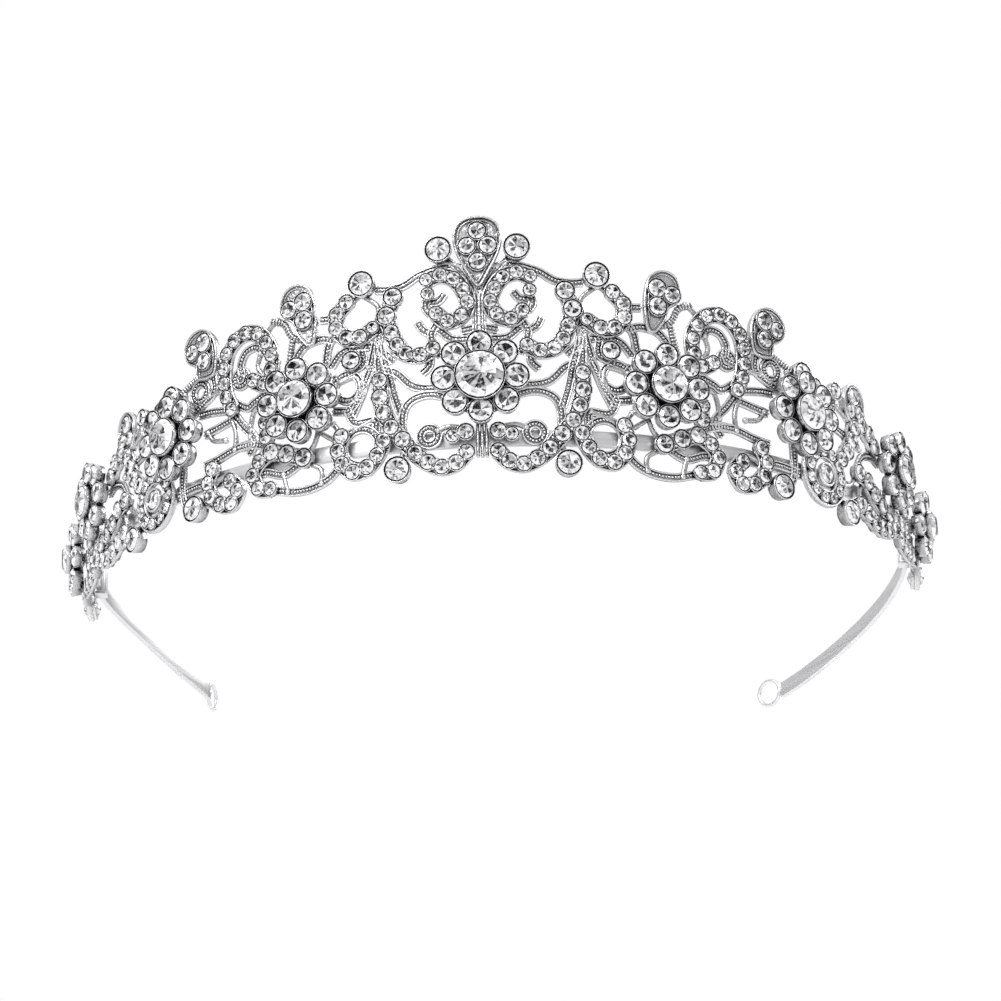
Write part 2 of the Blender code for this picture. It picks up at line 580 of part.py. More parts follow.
def band_base(x, y):
    """Height of the band's lower edge: level round the brow, easing down along the arms."""
    word = "right" if x > 0 else "left"
    start, end = -HOOP_RADIUS * math.cos(HOOP_SWEEP), arm_points(word)[-1][1]
    fall = max(0.0, (y - start) / (end - start))
    return BAND_Z - ARM_DROP[word] * fall * fall * (3 - 2 * fall)


def headband():
    """A flat strip on edge: an open wall along the hoop, given its thickness by Solidify."""
    bm = bmesh.new()
    rows = []
    for x, y in hoop_path():
        base = band_base(x, y)
        rows.append([bm.verts.new(Vector((x, y, z)) * MM) for z in (base, base + BAND_HEIGHT)])
    for (a, b), (c, d) in zip(rows, rows[1:]):
        bm.faces.new([a, c, d, b])
    obj = place("headband", bm, STRIP)
    wall = obj.modifiers.new("strip", "SOLIDIFY")
    wall.thickness = BAND_THICKNESS * MM
    wall.offset = -1.0
    wall.use_even_offset = True
    return obj


def end_loop(side, word):
    """The wire ring at an arm's end, twisted about the upright and standing clear of the strip."""
    tip, before = (Vector(p) for p in (arm_points(word)[-1], arm_points(word)[-2]))
    along = (tip - before).normalized()
    inward = Vector((-along.y, along.x)) * side * BAND_THICKNESS / 2
    twist = math.radians(LOOP_TURN[word])
    heading = math.atan2(along.y, along.x) + side * twist
    reach = LOOP_RADIUS + (LOOP_WIRE + SOLDER_GAP) / math.cos(twist)
    at = tip + inward + Vector((math.cos(heading), math.sin(heading))) * reach
    bpy.ops.mesh.primitive_torus_add(major_radius=LOOP_RADIUS * MM, minor_radius=LOOP_WIRE * MM,
                                     major_segments=16, minor_segments=5)
    obj = bpy.context.object
    obj.name = f"end_loop_{word}"
    obj.data.name = obj.name
    obj.location = Vector((at.x, at.y, band_base(*tip) + BAND_HEIGHT / 2)) * MM
    obj.rotation_euler = Euler((math.pi / 2, 0.0, heading))
    obj.data.materials.append(STRIP)
    obj.data.shade_smooth()
    for old in list(obj.users_collection):
        old.objects.unlink(obj)
    TIARA.objects.link(obj)
    return obj


def band_clamp(side, word):
    """A tab brazed to the back of the last casting and folded round the strip: an open U in section."""
    inner, outer = HOOP_RADIUS - BAND_THICKNESS - SOLDER_GAP, HOOP_RADIUS + SOLDER_GAP / 2
    back, low, high = inner - CLAMP_WALL, -SOLDER_GAP, BAND_HEIGHT + SOLDER_GAP
    section = [(outer, low - CLAMP_WALL), (outer, low), (inner, low), (inner, high), (outer, high),
               (outer, high + CLAMP_WALL), (back, high + CLAMP_WALL), (back, low - CLAMP_WALL)]
    bm = bmesh.new()
    ends = []
    for u in (CLAMP_AT - CLAMP_LENGTH / 2, CLAMP_AT + CLAMP_LENGTH / 2):
        ends.append([bm.verts.new(wrap(u * side, v, radius)) for radius, v in section])
    for k in range(len(section)):
        n = (k + 1) % len(section)
        bm.faces.new([ends[0][k], ends[0][n], ends[1][n], ends[1][k]])
    bm.faces.new(ends[0])
    bm.faces.new(ends[1][::-1])
    bmesh.ops.recalc_face_normals(bm, faces=bm.faces)
    return place(f"band_clamp_{word}", bm, STRIP)


def settle():
    """Centres the tiara on the frame's origin, front to back, with its lowest point at z = 0."""
    bpy.context.view_layer.update()
    graph = bpy.context.evaluated_depsgraph_get()
    corners = []
    for obj in TIARA.objects:
        whole = obj.evaluated_get(graph)
        corners += [whole.matrix_world @ Vector(c) for c in whole.bound_box]
    low = Vector([min(c[k] for c in corners) for k in range(3)])
    high = Vector([max(c[k] for c in corners) for k in range(3)])
    shift = Matrix.Translation((0.0, -(low.y + high.y) / 2, -low.z))
    for obj in TIARA.objects:
        obj.matrix_world = shift @ obj.matrix_world


headband()
for word, side in (("right", 1), ("left", -1)):
    end_loop(side, word)
    band_clamp(side, word)
centre_casting()
side_castings()
rosettes_and_stones()
settle()
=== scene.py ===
"""Bridal tiara, the looks: beaded filigree, set stones, a polished headband and a small white studio.

The filigree is laid out flat, as (u, v) in millimetres: u runs along the front from the middle of
the brow towards +X, and v runs up from the headband's lower edge. on_front() wraps a flat point
round the brow. The layout is made for +X and mirrored for -X.
"""
import math

import bmesh
import bpy
from mathutils import Matrix, Vector
from mathutils.geometry import tessellate_polygon


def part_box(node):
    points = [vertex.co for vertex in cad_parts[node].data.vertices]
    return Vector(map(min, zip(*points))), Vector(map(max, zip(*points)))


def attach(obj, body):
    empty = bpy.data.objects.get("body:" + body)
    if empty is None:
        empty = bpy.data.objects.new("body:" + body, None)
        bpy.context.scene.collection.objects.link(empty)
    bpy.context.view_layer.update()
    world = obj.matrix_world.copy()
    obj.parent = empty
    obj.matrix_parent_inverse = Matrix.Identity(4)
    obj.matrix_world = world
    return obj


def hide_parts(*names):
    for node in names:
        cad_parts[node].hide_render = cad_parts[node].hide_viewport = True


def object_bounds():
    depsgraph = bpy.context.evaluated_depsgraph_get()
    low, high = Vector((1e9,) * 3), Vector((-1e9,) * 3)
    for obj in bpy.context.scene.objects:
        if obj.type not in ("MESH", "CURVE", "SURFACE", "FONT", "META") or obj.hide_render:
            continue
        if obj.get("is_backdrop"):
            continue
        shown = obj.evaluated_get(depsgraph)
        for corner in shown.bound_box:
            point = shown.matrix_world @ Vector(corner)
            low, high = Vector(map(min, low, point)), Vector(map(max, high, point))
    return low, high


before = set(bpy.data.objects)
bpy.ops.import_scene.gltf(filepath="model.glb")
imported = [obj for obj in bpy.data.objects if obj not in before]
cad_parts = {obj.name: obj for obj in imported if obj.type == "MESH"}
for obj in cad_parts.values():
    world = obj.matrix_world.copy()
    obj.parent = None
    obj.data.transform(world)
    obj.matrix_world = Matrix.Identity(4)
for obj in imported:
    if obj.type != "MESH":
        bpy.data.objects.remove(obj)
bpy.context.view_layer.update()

MM = 0.001
SIDES = {"right": 1, "left": -1}

# Where the tiara sits in the frame, in millimetres.
BAND_LOW, BAND_HIGH = (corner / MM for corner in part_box("headband"))
HOOP_RADIUS = 70.2
BROW_FLAT = 70.14              # from the hoop's middle to the flat of the band at the brow
BAND_HEIGHT = 2.8
BAND_THICKNESS = 0.9
BAND_ROUND_OVER = 0.22
BAND_Z = BAND_HIGH.z - BAND_HEIGHT
HOOP_Y = BAND_LOW.y + BROW_FLAT
SOLDER_GAP = 0.3
PANEL_BACK = HOOP_RADIUS + SOLDER_GAP
PAVE_RISE = 1.6                # thickness of the strips and plates that stones are set in
ROSETTE_LIFT = PAVE_RISE + SOLDER_GAP    # from the filigree's back to a rosette's back
LAID_OUT_RADIUS = PANEL_BACK + 1.5       # u is measured on this radius

# The headband's arms, each bent by hand. Places are (on, inward) from the end of the round.
ROUND_END = 119.4 / LAID_OUT_RADIUS      # radians from the middle of the brow
ROUND_STEPS = 180
ARM_STEPS = 40
ARM_LEAD = {"right": 19.5, "left": 12.5}
ARM_TURN = {"right": (31.0, 7.5), "left": (42.0, 11.2)}
ARM_END = {"right": (54.0, 17.3), "left": (46.6, 10.6)}
ARM_DROP = {"right": 6.2, "left": 4.7}
FLAT_FACE_ANGLE = 20.0         # keeps the wide faces flat beside their rounded edges
LOOP_WIRE = 0.32               # radius of the wire of an end loop
LOOP_SOLDER = (0.75, 0.75, 0.95)         # half sizes of the solder at an end loop's foot
CLAMP_EDGE = 0.14              # how far a clamp's edges are eased

# Wires: how far the middle is above the filigree's back, height, width, and sides of the section.
RIBBON = (0.42, 0.7, 1.5, 8)
RIBBON_RAIL = (0.78, 0.38, 0.38, 8)
GROOVED = (0.5, 0.8, 1.1, 8)
GROOVED_RAIL = (0.8, 0.5, 0.42, 8)
ROPE_CORE = (0.6, 0.9, 1.1, 8)
TENDRIL = (0.6, 0.92, 0.92, 10)
STONE_STRIP = (0.66, 1.3, 2.6, 12)
STONE_RAIL = (1.0, 0.6, 0.44, 8)
CREST_FOOT = (0.8, 1.2, 0.62, 10)
CREST_RIMS = ((1.3, 1.1, 0.5, 10), (1.25, 0.7, 0.26, 10))
FINIAL_RIMS = ((1.1, 1.0, 0.5, 10), (1.15, 0.7, 0.26, 10))
ROSETTE_WEB = (ROSETTE_LIFT + 0.5, 0.8, 2.8, 10)
# Rows of beads: the middle's height, pitch, and half sizes across, along and out.
RIBBON_BEADS = (0.76, 0.56, 0.27, 0.27, 0.27)
ROPE_RIBS = (0.66, 0.56, 0.72, 0.24, 0.6)
# From a wire's middle line to the rail beside it.
RIBBON_HALF = 0.6
GROOVED_HALF = 0.45
STRIP_HALF = 1.3
CREST_INSET = 0.62
FINIAL_INSET = 0.6
# Balls: radius, and the height of the middle.
TENDRIL_BALL = 0.598
CLAW_BALL = 0.27
CLAW_RISE = 1.72
TAIL_BALL_RISE = 0.9
# The back and the face of a plate.
PLATE_BACK = 0.1
PLATE_FACE = 1.25

# Stones: the height of each kind's girdle above the filigree's back.
PAVE_GIRDLE = 1.62
CREST_GIRDLE = 1.67
MEDALLION_GIRDLE = 1.52
CUP_GIRDLE = 2.1
PETAL_GIRDLE = ROSETTE_LIFT + 1.8
HEART_GIRDLE = ROSETTE_LIFT + 2.8
CROWN = 0.3                    # from a stone's girdle to its table, for a radius of 1

# The stones of the tall cups, and of the crest: u, v, radius.
BEZELS = {
    "crown_tip": (6.5, 34.1, 1.95),
    "scroll_tip": (19.7, 29.4, 1.95),
    "hem_inner": (14.2, -3.7, 1.95),
    "hem_outer": (53.9, -3.3, 1.95),
    "hem_end": (71.2, -4.0, 1.9),
}
CREST_STONES = {
    "top": (0.0, 37.2, 1.4),
    "right": (1.75, 34.6, 1.4),
    "left": (-1.75, 34.6, 1.35),
    "bottom": (0.0, 31.8, 1.4),
}
# Rosettes: u, v, heart stone's radius, petal stone's radius, from heart to petal, petals.
ROSETTES = {
    "centre": (0.0, 10.9, 4.0, 1.95, 5.85, 8),
    "inner": (30.9, 10.3, 3.05, 1.85, 5.4, 8),
    "outer": (58.5, 10.1, 3.05, 1.85, 5.35, 8),
    "side": (87.0, 7.6, 2.5, 1.65, 5.0, 8),
    "end": (102.6, 2.4, 2.3, 1.65, 4.5, 7),
}

# The camera, about the hoop's middle: turns in degrees, distances in millimetres.
CAMERA_YAW = -2.1
CAMERA_PITCH = -18.24
CAMERA_ROLL = -1.53
CAMERA_DISTANCE = 1500.0
CAMERA_LENS = 312.4
CAMERA_ABOVE = 12.95
CAMERA_LEFT = 0.24

# The tabletop, in metres.
TABLETOP_HALF = 0.3
TABLETOP_DROP = 0.0005
TABLETOP_FADE = (0.09, 0.26)   # from here to here, measured from the frame's middle


# Paths and places.

def on_front(u, v, rise):
    """A flat point, wrapped round the brow this far in front of the filigree's back. In metres."""
    turn = u / LAID_OUT_RADIUS
    reach = PANEL_BACK + rise
    return Vector((reach * math.sin(turn), HOOP_Y - reach * math.cos(turn), v + BAND_Z)) * MM


def smooth(points, closed=False, step=0.4):
    """A flat path as a smooth curve through its points, with a point about every step."""
    path = [Vector(p[:2]) for p in points]
    if closed:
        path = [path[-1]] + path + path[:2]
    else:
        path = [2 * path[0] - path[1]] + path + [2 * path[-1] - path[-2]]
    curve = []
    for a, b, c, d in zip(path, path[1:], path[2:], path[3:]):
        count = max(1, round((c - b).length / step))
        for k in range(count):
            t = k / count
            bend = (2 * a - 5 * b + 4 * c - d) * t * t + (3 * b - a - 3 * c + d) * t ** 3
            curve.append(0.5 * (2 * b + (c - a) * t + bend))
    if not closed:
        curve.append(path[-2])
    return curve


def beside(path, offset, closed=False):
    """The same flat path, moved sideways to its left."""
    moved = []
    last = len(path) - 1
    for k, at in enumerate(path):
        before = path[k - 1] if closed or k else path[0]
        after = path[(k + 1) % len(path)] if closed or k < last else path[last]
        run = (after - before).normalized()
        moved.append(at + Vector((-run.y, run.x)) * offset)
    return moved


def circle(u, v, radius, corners=40):
    turns = [2 * math.pi * k / corners for k in range(corners)]
    return [Vector((u + radius * math.cos(turn), v + radius * math.sin(turn))) for turn in turns]


def length_of(path):
    return sum((b - a).length for a, b in zip(path, path[1:]))


def paced(points, pitch, radius):
    """Stones evenly along a smooth path, as (u, v, radius)."""
    path = smooth(points, step=0.1)
    count = max(1, round(length_of(path) / pitch))
    gap = length_of(path) / count
    stones = [(path[0].x, path[0].y, radius)]
    gone = 0.0
    for a, b in zip(path, path[1:]):
        gone += (b - a).length
        if gone >= gap * len(stones) - 0.05:
            stones.append((b.x, b.y, radius))
    return stones


def on_side(points, side):
    """Points or stones laid out for +X, moved to this side."""
    return [(p[0] * side, *p[1:]) for p in points]


def copies(name):
    """What is made to one plan: a single one in the middle, or a right and a left one."""
    if name == "centre":
        return {"centre": 1}
    return {f"{name}_{word}": side for word, side in SIDES.items()}


# Meshes and objects.

def mesh_of(bm, name, finish=None):
    mesh = bpy.data.meshes.new(name)
    bm.to_mesh(mesh)
    bm.free()
    if finish:
        mesh.materials.append(finish)
    return mesh


def in_scene(name, data):
    obj = bpy.data.objects.new(name, data)
    bpy.context.scene.collection.objects.link(obj)
    return obj


def ring_of_points(bm, radius, height, count, offset=0.0):
    """New points round the z axis, in millimetres, the first one turned by this part of a step."""
    turns = [2 * math.pi * (k + offset) / count for k in range(count)]
    return [bm.verts.new(Vector((radius * math.cos(t), radius * math.sin(t), height)) * MM) for t in turns]


def skin(bm, rows, closed=False):
    """Faces from each ring of points to the next. A ring may be a single point, as at a pole."""
    following = rows[1:] + rows[:1] if closed else rows[1:]
    for low, high in zip(rows, following):
        count = max(len(low), len(high))
        for k in range(count):
            n = (k + 1) % count
            corners = [low[k % len(low)], low[n % len(low)], high[n % len(high)], high[k % len(high)]]
            bm.faces.new(list(dict.fromkeys(corners)))


# Nodes, for trees of either kind.

def fill(tree, node, inputs):
    """Fills a node's inputs: a socket is linked, and any other value is set."""
    for key, value in inputs.items():
        if isinstance(value, bpy.types.NodeSocket):
            tree.links.new(value, node.inputs[key])
        else:
            node.inputs[key].default_value = value


def add(tree, kind, inputs=None, **settings):
    node = tree.nodes.new(kind)
    for key, value in settings.items():
        setattr(node, key, value)
    fill(tree, node, inputs or {})
    return node


def maths(tree, operation, *values):
    return add(tree, "ShaderNodeMath", dict(enumerate(values)), operation=operation).outputs[0]


# Geometry Nodes: one tree for each way of working metal and setting stones.

def new_tree(name, **inputs):
    """An empty tree with a guide mesh and these named inputs. Returns the tree and its inputs."""
    tree = bpy.data.node_groups.new(name, "GeometryNodeTree")
    for label, kind in {"Guide": "Geometry", **inputs}.items():
        tree.interface.new_socket(label, in_out="INPUT", socket_type=f"NodeSocket{kind}")
    tree.interface.new_socket("Piece", in_out="OUTPUT", socket_type="NodeSocketGeometry")
    return tree, tree.nodes.new("NodeGroupInput").outputs


def finish_tree(tree, geometry, metal):
    """Ends a tree: real geometry, shaded smooth or flat, in its finish."""
    real = add(tree, "GeometryNodeRealizeInstances", {"Geometry": geometry})
    shaded = add(tree, "GeometryNodeSetShadeSmooth", {"Geometry": real.outputs[0], "Shade Smooth": metal})
    finish = PLATED if metal else CRYSTAL
    done = add(tree, "GeometryNodeSetMaterial", {"Geometry": shaded.outputs[0], "Material": finish})
    add(tree, "NodeGroupOutput", {0: done.outputs[0]})
    return tree


def outward(tree):
    """The direction straight out from the hoop's upright axis, at each point."""
    at = add(tree, "GeometryNodeInputPosition").outputs[0]
    middle = (0.0, HOOP_Y * MM, 0.0)
    away = add(tree, "ShaderNodeVectorMath", {0: at, 1: middle}, operation="SUBTRACT")
    level = add(tree, "ShaderNodeVectorMath", {0: away.outputs[0], 1: (1.0, 1.0, 0.0)},
                operation="MULTIPLY")
    return add(tree, "ShaderNodeVectorMath", {0: level.outputs[0]}, operation="NORMALIZE").outputs[0]


def wire_tree():
    """Wire of an oval section, drawn along each path of the guide."""
    tree, given = new_tree("drawn_wire", Height="Float", Width="Float", Sides="Int", Patina="Float")
    path = add(tree, "GeometryNodeMeshToCurve", {"Mesh": given["Guide"]})
    turned = add(tree, "GeometryNodeSetCurveNormal",
                 {"Curve": path.outputs[0], "Normal": outward(tree)}, mode="FREE")
    section = add(tree, "GeometryNodeCurvePrimitiveCircle",
                  {"Resolution": given["Sides"], "Radius": MM / 2})
    oval = add(tree, "ShaderNodeCombineXYZ", {"X": given["Height"], "Y": given["Width"], "Z": 1.0})
    shaped = add(tree, "GeometryNodeTransform",
                 {"Geometry": section.outputs["Curve"], "Scale": oval.outputs[0]})
    swept = add(tree, "GeometryNodeCurveToMesh", {
        "Curve": turned.outputs[0], "Profile Curve": shaped.outputs[0], "Fill Caps": True})
    aged = add(tree, "GeometryNodeStoreNamedAttribute", {
        "Geometry": swept.outputs[0], "Name": "patina", "Value": given["Patina"]},
        data_type="FLOAT", domain="POINT")
    return finish_tree(tree, aged.outputs[0], metal=True)


def bead_tree():
    """A row of beads along each path, each stretched across, along and out from the path."""
    tree, given = new_tree("bead_row", Pitch="Float", Across="Float", Along="Float", Out="Float")
    path = add(tree, "GeometryNodeMeshToCurve", {"Mesh": given["Guide"]})
    spaced = add(tree, "GeometryNodeResampleCurve",
                 {"Curve": path.outputs[0], "Length": given["Pitch"]}, mode="LENGTH")
    along = add(tree, "FunctionNodeAlignRotationToVector",
                {"Vector": add(tree, "GeometryNodeInputTangent").outputs[0]}, axis="X")
    turned = add(tree, "FunctionNodeAlignRotationToVector",
                 {"Rotation": along.outputs[0], "Vector": outward(tree)}, axis="Z", pivot_axis="X")
    bead = add(tree, "GeometryNodeMeshUVSphere", {"Segments": 7, "Rings": 5, "Radius": MM})
    size = add(tree, "ShaderNodeCombineXYZ",
               {"X": given["Along"], "Y": given["Across"], "Z": given["Out"]})
    row = add(tree, "GeometryNodeInstanceOnPoints", {
        "Points": spaced.outputs[0], "Instance": bead.outputs["Mesh"],
        "Rotation": turned.outputs[0], "Scale": size.outputs[0]})
    return finish_tree(tree, row.outputs[0], metal=True)


def setting_tree(metal):
    """A copy of one cup or stone at each point, facing out, at the size the point carries."""
    tree, given = new_tree("cups" if metal else "stones", Pattern="Object", Seed="Int")
    pattern = add(tree, "GeometryNodeObjectInfo", {"Object": given["Pattern"]})
    size = add(tree, "GeometryNodeInputNamedAttribute", {"Name": "size"}, data_type="FLOAT")
    facing = add(tree, "FunctionNodeAlignRotationToVector", {"Vector": outward(tree)}, axis="Z")
    spin = add(tree, "FunctionNodeRandomValue", {"Seed": given["Seed"]}, data_type="FLOAT")
    angle = maths(tree, "MULTIPLY", spin.outputs[1], 2 * math.pi)
    about = add(tree, "FunctionNodeAxisAngleToRotation", {"Axis": (0.0, 0.0, 1.0), "Angle": angle})
    turned = add(tree, "FunctionNodeRotateRotation",
                 {"Rotation": facing.outputs[0], "Rotate By": about.outputs[0]},
                 rotation_space="LOCAL")
    placed = add(tree, "GeometryNodeInstanceOnPoints", {
        "Points": given["Guide"], "Instance": pattern.outputs["Geometry"],
        "Rotation": turned.outputs[0], "Scale": size.outputs[0]})
    if metal:
        return finish_tree(tree, placed.outputs[0], metal)
    own = add(tree, "FunctionNodeRandomValue", {"Seed": 7}, data_type="FLOAT")
    named = add(tree, "GeometryNodeStoreNamedAttribute", {
        "Geometry": placed.outputs[0], "Name": "stone", "Value": own.outputs[1]},
        data_type="FLOAT", domain="INSTANCE")
    return finish_tree(tree, named.outputs[0], metal)


def worked(guide, tree, **values):
    """What a tree makes of a guide mesh, as a plain mesh."""
    obj = in_scene("guide", guide)
    work = obj.modifiers.new("work", "NODES")
    work.node_group = tree
    for socket in tree.interface.items_tree:
        if socket.in_out == "INPUT" and socket.name in values:
            work[socket.identifier] = values[socket.name]
    graph = bpy.context.evaluated_depsgraph_get()
    mesh = bpy.data.meshes.new_from_object(obj.evaluated_get(graph))
    obj.modifiers.remove(work)
    bpy.data.objects.remove(obj)
    return mesh


# Guides: the paths and points that the trees work along.

def path_guide(lines, rise):
    """A mesh of edges only, with one chain for each flat line, given as (path, closed)."""
    points, edges = [], []
    for path, closed in lines:
        first = len(points)
        points += [on_front(p.x, p.y, rise) for p in path]
        edges += [(k, k + 1) for k in range(first, len(points) - 1)]
        if closed:
            edges.append((len(points) - 1, first))
    mesh = bpy.data.meshes.new("paths")
    mesh.from_pydata(points, edges, [])
    return mesh


def point_guide(stones, rise):
    """A mesh of loose points, each carrying a size, from (u, v, size)."""
    mesh = bpy.data.meshes.new("points")
    mesh.from_pydata([on_front(u, v, rise) for u, v, _ in stones], [], [])
    sizes = mesh.attributes.new("size", "FLOAT", "POINT")
    sizes.data.foreach_set("value", [size for _, _, size in stones])
    return mesh


def wires(lines, wire, patina=0.0):
    rise, height, width, sides = wire
    return worked(path_guide(lines, rise), WIRE, Height=height, Width=width, Sides=sides, Patina=patina)


def beads(lines, kind):
    rise, pitch, across, along, out = kind
    return worked(path_guide(lines, rise), BEADS, Pitch=pitch * MM, Across=across, Along=along, Out=out)


def set_cups(pattern, stones, rise):
    return worked(point_guide(stones, rise), CUPS, Pattern=pattern, Seed=1)


def set_stones(pattern, stones, rise, seed):
    return worked(point_guide(stones, rise), STONES, Pattern=pattern, Seed=seed)


# Patterns: one cup, ball or stone, of unit radius in millimetres, with its girdle at z = 0.
# A pattern is an object that a tree copies, and is never in the scene itself.

def turned_metal(name, profile, segments):
    """A lathe-turned pattern from (radius, height, darkening), run from the back's middle to the seat's.
    The darkening is patina together with painted shade.
    """
    bm = bmesh.new()
    patina = bm.verts.layers.float.new("patina")
    rows = []
    for radius, height, darkening in profile:
        row = ring_of_points(bm, radius, height, segments if radius > 0 else 1)
        for vert in row:
            vert[patina] = darkening
        rows.append(row)
    skin(bm, rows)
    return bpy.data.objects.new(name, mesh_of(bm, name))


def cup_pattern(name, wall, depth, lip, segments):
    """A stone's cup: an outer wall, a rounded rim, a gap and a seat, the gap and seat painted dark as
    painted shade together with patina.
    """
    gap = 1.0 + wall * 0.6
    rim = 1.0 + wall
    # Third column is the darkening, painted shade together with patina: full in the gap and seat round the
    # stone, up to half on the back and outer wall, none on the rim top.
    profile = [(0.0, -depth, 0.3), (rim * 0.86, -depth, 0.5), (rim * 0.97, -depth * 0.4, 0.3),
               (rim, lip * 0.3, 0.1), (rim - wall * 0.15, lip, 0.0), (gap + wall * 0.1, lip, 0.2),
               (gap, -0.06, 1.0), (gap, -0.3, 1.0), (0.0, -0.32, 1.0)]
    return turned_metal(name, profile, segments)


def ball_pattern():
    """A round bead that sits with its middle at z = 0."""
    turns = [math.pi * (k / 5 - 0.5) for k in range(1, 5)]
    belly = [(math.cos(turn), math.sin(turn), 0.0) for turn in turns]
    return turned_metal("ball", [(0.0, -1.0, 0.0), *belly, (0.0, 1.0, 0.0)], 8)


def brilliant_pattern(name, fold):
    """A round foiled stone: a fan of wedges under the table, a ring of kites, and a closed flat back.

    Each face carries "facet", a number of its own, and "painted_reflection", how bright the painted
    reflection on such a facet tends to be."""
    bm = bmesh.new()
    count = 2 * fold
    middle = bm.verts.new(Vector((0.05, 0.04, CROWN * 0.9)) * MM)
    table = ring_of_points(bm, 0.7, CROWN, count, 0.5)
    girdle = ring_of_points(bm, 1.0, 0.05, count)
    base = ring_of_points(bm, 0.97, -0.14, count)
    faces = []
    for k in range(count):
        n = (k + 1) % count
        # Painted reflections: dark wedges under the table, brighter star facets, bright kites, and a dark
        # girdle and back.
        faces.append(([middle, table[k], table[n]], 0.18))
        faces.append(([table[k], girdle[n], table[n]], 0.5))
        faces.append(([table[k], girdle[k], girdle[n]], 0.95))
        faces.append(([girdle[k], base[k], base[n], girdle[n]], 0.1))
    faces.append((base[::-1], 0.1))
    facet = bm.faces.layers.float.new("facet")
    painted_reflection = bm.faces.layers.float.new("painted_reflection")
    for k, (corners, brightness) in enumerate(faces):
        face = bm.faces.new(corners)
        face[facet] = k / len(faces)
        face[painted_reflection] = brightness
    bmesh.ops.recalc_face_normals(bm, faces=bm.faces)
    return bpy.data.objects.new(name, mesh_of(bm, name))


# Finishes.

def blank_finish(name):
    """A new node material: its tree, and its shader."""
    made = bpy.data.materials.new(name)
    made.use_nodes = True
    return made, made.node_tree, made.node_tree.nodes["Principled BSDF"]


def object_place(tree):
    return add(tree, "ShaderNodeTexCoord").outputs["Object"]


def carried(tree, name):
    """A number that the mesh carries under this name."""
    return add(tree, "ShaderNodeAttribute", attribute_name=name).outputs["Fac"]


def noise(tree, place, scale, detail):
    inputs = {"Vector": place, "Scale": scale, "Detail": detail}
    return add(tree, "ShaderNodeTexNoise", inputs).outputs["Fac"]


def bump(tree, height, strength, distance):
    inputs = {"Height": height, "Strength": strength, "Distance": distance}
    return add(tree, "ShaderNodeBump", inputs).outputs[0]


def ramp(tree, factor, stops):
    """A colour ramp of greys, from (position, grey)."""
    node = add(tree, "ShaderNodeValToRGB", {"Fac": factor})
    for k, (position, grey) in enumerate(stops):
        element = node.color_ramp.elements[k] if k < 2 else node.color_ramp.elements.new(position)
        element.position = position
        element.color = (grey, grey, grey * 1.01, 1.0)
    return node.outputs["Color"]


def rhodium_finish():
    """Bright cast rhodium: faint casting grain, and dark recesses that are patina together with painted
    shade, from ambient occlusion and from the darkening that the mesh carries.
    """
    made, tree, shader = blank_finish("rhodium_plate")
    place = object_place(tree)
    grain = noise(tree, place, 1400.0, 3.0)
    cloud = noise(tree, place, 160.0, 2.0)
    # Painted shade: ambient occlusion darkens the colour in recesses, between stones, rims and beads, on
    # top of the patina and painted shade carried by the mesh.
    crevice = add(tree, "ShaderNodeAmbientOcclusion", {"Distance": 0.7 * MM}, samples=4)
    hidden = maths(tree, "SUBTRACT", 1.0, crevice.outputs["AO"])
    aged = maths(tree, "MULTIPLY", cloud, 0.3)
    painted_shade_and_cloud = maths(tree, "MULTIPLY_ADD", hidden, 0.75, aged)
    amount = maths(tree, "MULTIPLY_ADD", carried(tree, "patina"), 0.7, painted_shade_and_cloud)
    fill(tree, shader, {
        "Base Color": ramp(tree, amount, [(0.12, 0.8), (0.38, 0.55), (0.66, 0.18), (1.0, 0.02)]),
        "Roughness": ramp(tree, grain, [(0.3, 0.16), (0.7, 0.34)]),
        "Normal": bump(tree, grain, 0.8, 0.00016),
        "Metallic": 1.0})
    return made


def strip_finish():
    """Rolled and polished strip: fine brushing that runs lengthwise."""
    made, tree, shader = blank_finish("bright_strip")
    stretch = {"Vector": object_place(tree), "Scale": (30.0, 30.0, 2600.0)}
    brushed = noise(tree, add(tree, "ShaderNodeMapping", stretch).outputs[0], 1.0, 4.0)
    fill(tree, shader, {
        "Base Color": ramp(tree, brushed, [(0.3, 0.76), (0.7, 0.86)]),
        "Roughness": ramp(tree, brushed, [(0.3, 0.34), (0.7, 0.4)]),
        "Normal": bump(tree, brushed, 0.05, 0.00004),
        "Metallic": 1.0})
    return made


def crystal_finish():
    """Foiled crystal with painted reflections: every facet has its own painted brightness, standing in for
    the lit or dark surroundings its foil would mirror, with small painted glints and a faint painted glow.
    """
    made, tree, shader = blank_finish("foiled_crystal")
    own = add(tree, "ShaderNodeCombineXYZ",
              {"X": carried(tree, "facet"), "Y": carried(tree, "stone"), "Z": 0.5})
    chance = add(tree, "ShaderNodeTexWhiteNoise", {"Vector": own.outputs[0]}, noise_dimensions="3D")
    tendency = maths(tree, "MULTIPLY", carried(tree, "painted_reflection"), 0.4)
    luck = maths(tree, "MULTIPLY", chance.outputs["Value"], 0.6)
    lit = maths(tree, "ADD", tendency, luck)
    cells = add(tree, "ShaderNodeTexVoronoi", {"Vector": object_place(tree), "Scale": 2100.0})
    split = add(tree, "ShaderNodeSeparateColor", {"Color": cells.outputs["Color"]})
    glint = maths(tree, "SUBTRACT", split.outputs[0], 0.5)
    shade = maths(tree, "MULTIPLY_ADD", glint, 0.34, lit)
    light = ramp(tree, shade, [(0.2, 0.01), (0.3, 0.06), (0.38, 0.5), (0.62, 0.94)])
    # A faint painted glow: the painted facet light also goes into emission, though the stone is no lamp.
    fill(tree, shader, {
        "Base Color": light, "Emission Color": light, "Emission Strength": 0.12, "Metallic": 0.5,
        "Roughness": 0.06, "Coat Weight": 0.6, "Coat Roughness": 0.02, "IOR": 1.6})
    return made


